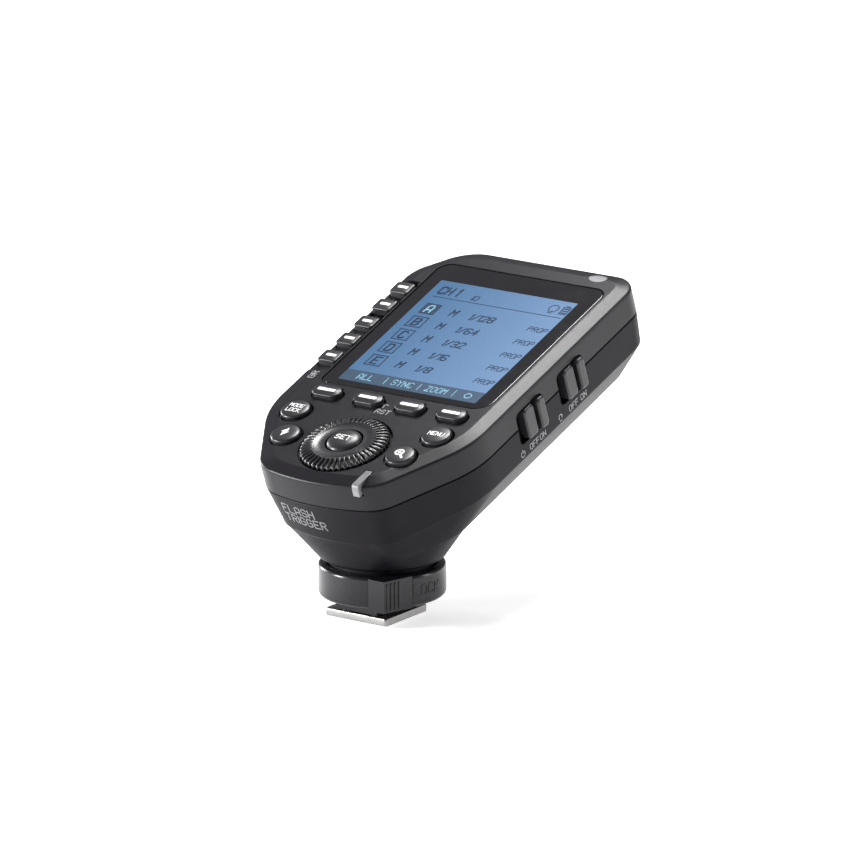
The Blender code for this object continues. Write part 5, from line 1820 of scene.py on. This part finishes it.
# ---------------------------------------------------------------- printing on the case
@dataclass
class CaseMarks:
    """Plain words and signs printed on the housing."""

    printer: Printer

    def on_face(self, art: bpy.types.Object, u: float, v: float, ink: bpy.types.Material,
                shell: bpy.types.Object, turn: float = 0.0) -> None:
        """Press artwork onto the control face.

        Args:
            art: The artwork.
            u: Where its middle goes, to the right.
            v: Where its middle goes, up the face.
            ink: Its material.
            shell: The upper half.
            turn: How far it is turned, in degrees.
        """
        spin = Matrix.Rotation(math.radians(turn), 3, "Z")
        self.printer.press(art, Vector((u, v, 0.0)), spin @ Vector((1, 0, 0)), spin @ Vector((0, 1, 0)),
                           shell)
        fit(art, "housing", ink)

    def on_side(self, art: bpy.types.Object, v: float, w: float, ink: bpy.types.Material,
                shell: bpy.types.Object) -> None:
        """Press artwork onto the right-hand wall.

        Args:
            art: The artwork.
            v: Where its middle goes along the wall.
            w: Where its middle goes up the wall.
            ink: Its material.
            shell: The half that carries it.
        """
        self.printer.press(art, Vector((30.5, v, w)), Vector((0, 1, 0)), Vector((0, 0, 1)), shell)
        fit(art, "housing", ink)

    def build(self, finishes: Finishes, shells: dict[str, bpy.types.Object]) -> None:
        """Print every mark.

        Args:
            finishes: The finishes.
            shells: The halves of the case.
        """
        upper, lower = shells["upper"], shells["lower"]
        ink = finishes.grey_ink
        write = self.printer.lettering
        self.on_face(write("mark_gr", "GR", 2.5, 0.02), -27.0, 25.0, ink, upper, 90.0)
        self.on_face(write("mark_rst", "RST", 2.2, 0.02), 0.9, 15.3, ink, upper)
        bracket = self.printer.sign("mark_bracket",
                                    pen([(-1.6, 0.6), (0.9, 0.6)], 0.22) + pen([(0.0, 0.6), (0.0, -0.7)],
                                                                               0.22))
        self.on_face(bracket, -0.3, 17.7, ink, upper)
        badge = [Vector((2.5 * math.cos(a),
                         1.75 * math.sin(a))) for a in (math.tau * k / 48 for k in range(48))]
        self.on_face(self.printer.sign("mark_badge", [badge]), 20.4, 83.4, finishes.badge, upper)
        for tag, middle, off, on in (("power", 28.3, 33.4, 37.2), ("lamp", 45.2, 51.1, 55.6)):
            self.on_side(write(f"mark_{tag}_off", "OFF", 2.1, 0.015), off, -15.3, ink, lower)
            self.on_side(write(f"mark_{tag}_on", "ON", 2.1, 0.015), on, -15.3, ink, lower)
            sign = arc_pen((0.0, 0.0), 0.8, 0.2, 115.0, 425.0, 16) + pen([(0.0, 0.3), (0.0, 1.1)], 0.2)
            if tag == "lamp":
                sign = arc_pen((0.0, 0.15), 0.7, 0.2, -50.0, 230.0, 14) + pen([(-0.4, -0.9), (0.4, -0.9)],
                                                                              0.2)
            self.on_side(self.printer.sign(f"mark_{tag}_sign", sign), middle, -15.3, ink, lower)
        self.nose(finishes, lower)

    def nose(self, finishes: Finishes, lower: bpy.types.Object) -> None:
        """Print a plain description on the nose, left of the middle.

        Args:
            finishes: The finishes.
            lower: The lower half.
        """
        for k, words in enumerate(("FLASH", "TRIGGER")):
            art = self.printer.lettering(f"nose_{words.lower()}", words, 3.2, 0.04, anchor=Anchor.LEFT)
            spot = Vector((-12.6, -14.0, -11.6 - 3.0 * k))
            right = Vector((math.cos(math.radians(-10)), math.sin(math.radians(-10)), 0.0))
            self.printer.press(art, spot, right, Vector((0, 0, 1)), lower)
            fit(art, "housing", finishes.nose_ink)


# ---------------------------------------------------------------- carried-over pieces
@dataclass
class CadFinishes:
    """Better materials for the CAD pieces whose shape is kept."""

    nodes: dict[str, bpy.types.Object]

    def build(self, finishes: Finishes) -> None:
        """Give every kept CAD piece its material.

        Args:
            finishes: The finishes.
        """
        by_word = (("case_screw", finishes.steel), ("foot_screw", finishes.steel),
                   ("contact_block", finishes.inner),
                   ("data_contact", finishes.gold), ("firing_contact", finishes.gold),
                   ("bridge", finishes.gold),
                   ("spring", finishes.steel), ("lock_pin", finishes.steel), ("hinge_pin", finishes.steel),
                   ("battery_cell", finishes.sleeve), ("battery_door", finishes.base),
                   ("base_plate", finishes.ring),
                   ("usb_socket", finishes.steel), ("sync_jack", finishes.inner),
                   ("switch_board", finishes.board),
                   ("main_board", finishes.board), ("encoder", finishes.steel),
                   ("dome_sheet", finishes.rubber),
                   ("lcd_panel", finishes.screen), ("backlight", finishes.diffuser),
                   ("antenna", finishes.diffuser), ("assist_lamp_led", finishes.red))
        for name, piece in self.nodes.items():
            chosen = next((finish for word, finish in by_word if word in name), finishes.inner)
            for slot in piece.material_slots:
                slot.material = chosen


# ---------------------------------------------------------------- floor, lights and camera
@dataclass
class Studio:
    """The floor, the lights and the camera."""

    azimuth: float = 35.912
    elevation: float = 15.28
    roll: float = -0.279
    distance: float = 2157.223
    shift: tuple[float, float] = (12.907, 45.183)
    lens: float = 368.7
    sensor: float = 36.0
    aim: Vector = field(default_factory=lambda: Vector((0.0, 0.03, 0.05)))

    def camera(self) -> None:
        """Place the camera."""
        a, e, r = (math.radians(x) for x in (self.azimuth, self.elevation, self.roll))
        back = Vector((math.sin(a) * math.cos(e), -math.cos(a) * math.cos(e), math.sin(e)))
        level = Vector((math.cos(a), math.sin(a), 0.0))
        rise = back.cross(level)
        right = level * math.cos(r) + rise * math.sin(r)
        up = rise * math.cos(r) - level * math.sin(r)
        spot = (back * self.distance + right * self.shift[0] + up * self.shift[1]) * MM
        data = bpy.data.cameras.new("camera")
        data.sensor_width = self.sensor
        data.lens = self.lens
        data.clip_start, data.clip_end = 0.05, 50.0
        camera = bpy.data.objects.new("camera", data)
        bpy.context.scene.collection.objects.link(camera)
        camera.matrix_world = Matrix(((right.x, up.x, back.x, spot.x), (right.y, up.y, back.y, spot.y),
                                      (right.z, up.z, back.z, spot.z), (0, 0, 0, 1)))
        bpy.context.scene.camera = camera

    def lamp(self, name: str, place: Sequence[float], size: tuple[float, float], power: float) -> None:
        """Hang a softbox that faces the trigger.

        Args:
            name: The light's name.
            place: Where it hangs, in metres.
            size: Its width and height.
            power: Its power in watts.
        """
        data = bpy.data.lights.new(name, "AREA")
        data.shape = "RECTANGLE"
        data.size, data.size_y = size
        data.energy = power
        lamp = bpy.data.objects.new(name, data)
        bpy.context.scene.collection.objects.link(lamp)
        lamp.location = place
        lamp.rotation_euler = (self.aim - Vector(place)).to_track_quat("-Z", "Y").to_euler()

    def build(self, finishes: Finishes) -> None:
        """Lay the floor and set the lights and the camera.

        Args:
            finishes: Not used.
        """
        floor = Blank(Setting.SHOE).box((-9000, -9000, -2.6), (9000, 9000, -0.6)).build("floor")
        floor.data.materials.append(FloorPaper("floor_paper", (0.98, 0.98, 0.98), 0.62).make())
        world = bpy.data.worlds.new("soft_room")
        world.use_nodes = True
        world.node_tree.nodes["Background"].inputs["Color"].default_value = (0.95, 0.93, 1.0, 1.0)
        world.node_tree.nodes["Background"].inputs["Strength"].default_value = 0.22
        bpy.context.scene.world = world
        bpy.context.scene.view_settings.view_transform = "Standard"
        self.lamp("softbox_top", (-0.12, 0.54, 1.25), (0.6, 0.6), 18.0)
        self.lamp("softbox_near", (-0.085, 0.17, 0.37), (0.12, 0.12), 0.8)
        self.lamp("softbox_right", (1.25, 0.85, 0.45), (0.3, 0.8), 8.0)
        self.lamp("softbox_left", (-0.85, -0.80, 0.19), (0.26, 0.36), 26.0)
        self.lamp("softbox_side", (-1.15, 0.12, 0.20), (0.3, 0.38), 11.0)
        self.camera()


def square_up() -> None:
    """Leave every new piece's place in its mesh, as the CAD pieces have theirs."""
    bpy.context.view_layer.update()
    for piece in bpy.context.scene.objects:
        if piece.type == "MESH" and "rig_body" in piece and piece.name not in frame["nodes"]:
            piece.data.transform(piece.matrix_world)
            piece.matrix_world = Matrix.Identity(4)


def main() -> None:
    """Build the whole trigger, piece by piece."""
    logging.basicConfig(level=logging.INFO, format="%(name)s: %(message)s")
    finishes = Finishes()
    CadFinishes(frame["nodes"]).build(finishes)
    plan, printer = KeyPlan(), Printer()
    housing = Housing(plan)
    shells = housing.build(finishes)
    Display(printer, housing.window).build(finishes)
    Keypad(plan, printer).build(finishes)
    ControlDial(printer).build(finishes)
    SideSwitches(plan).build(finishes)
    LightsAndPorts().build(finishes)
    RingAndFoot(printer).build(finishes)
    CaseMarks(printer).build(finishes, shells)
    square_up()
    Studio().build(finishes)


if __name__ == "__main__":
    main()
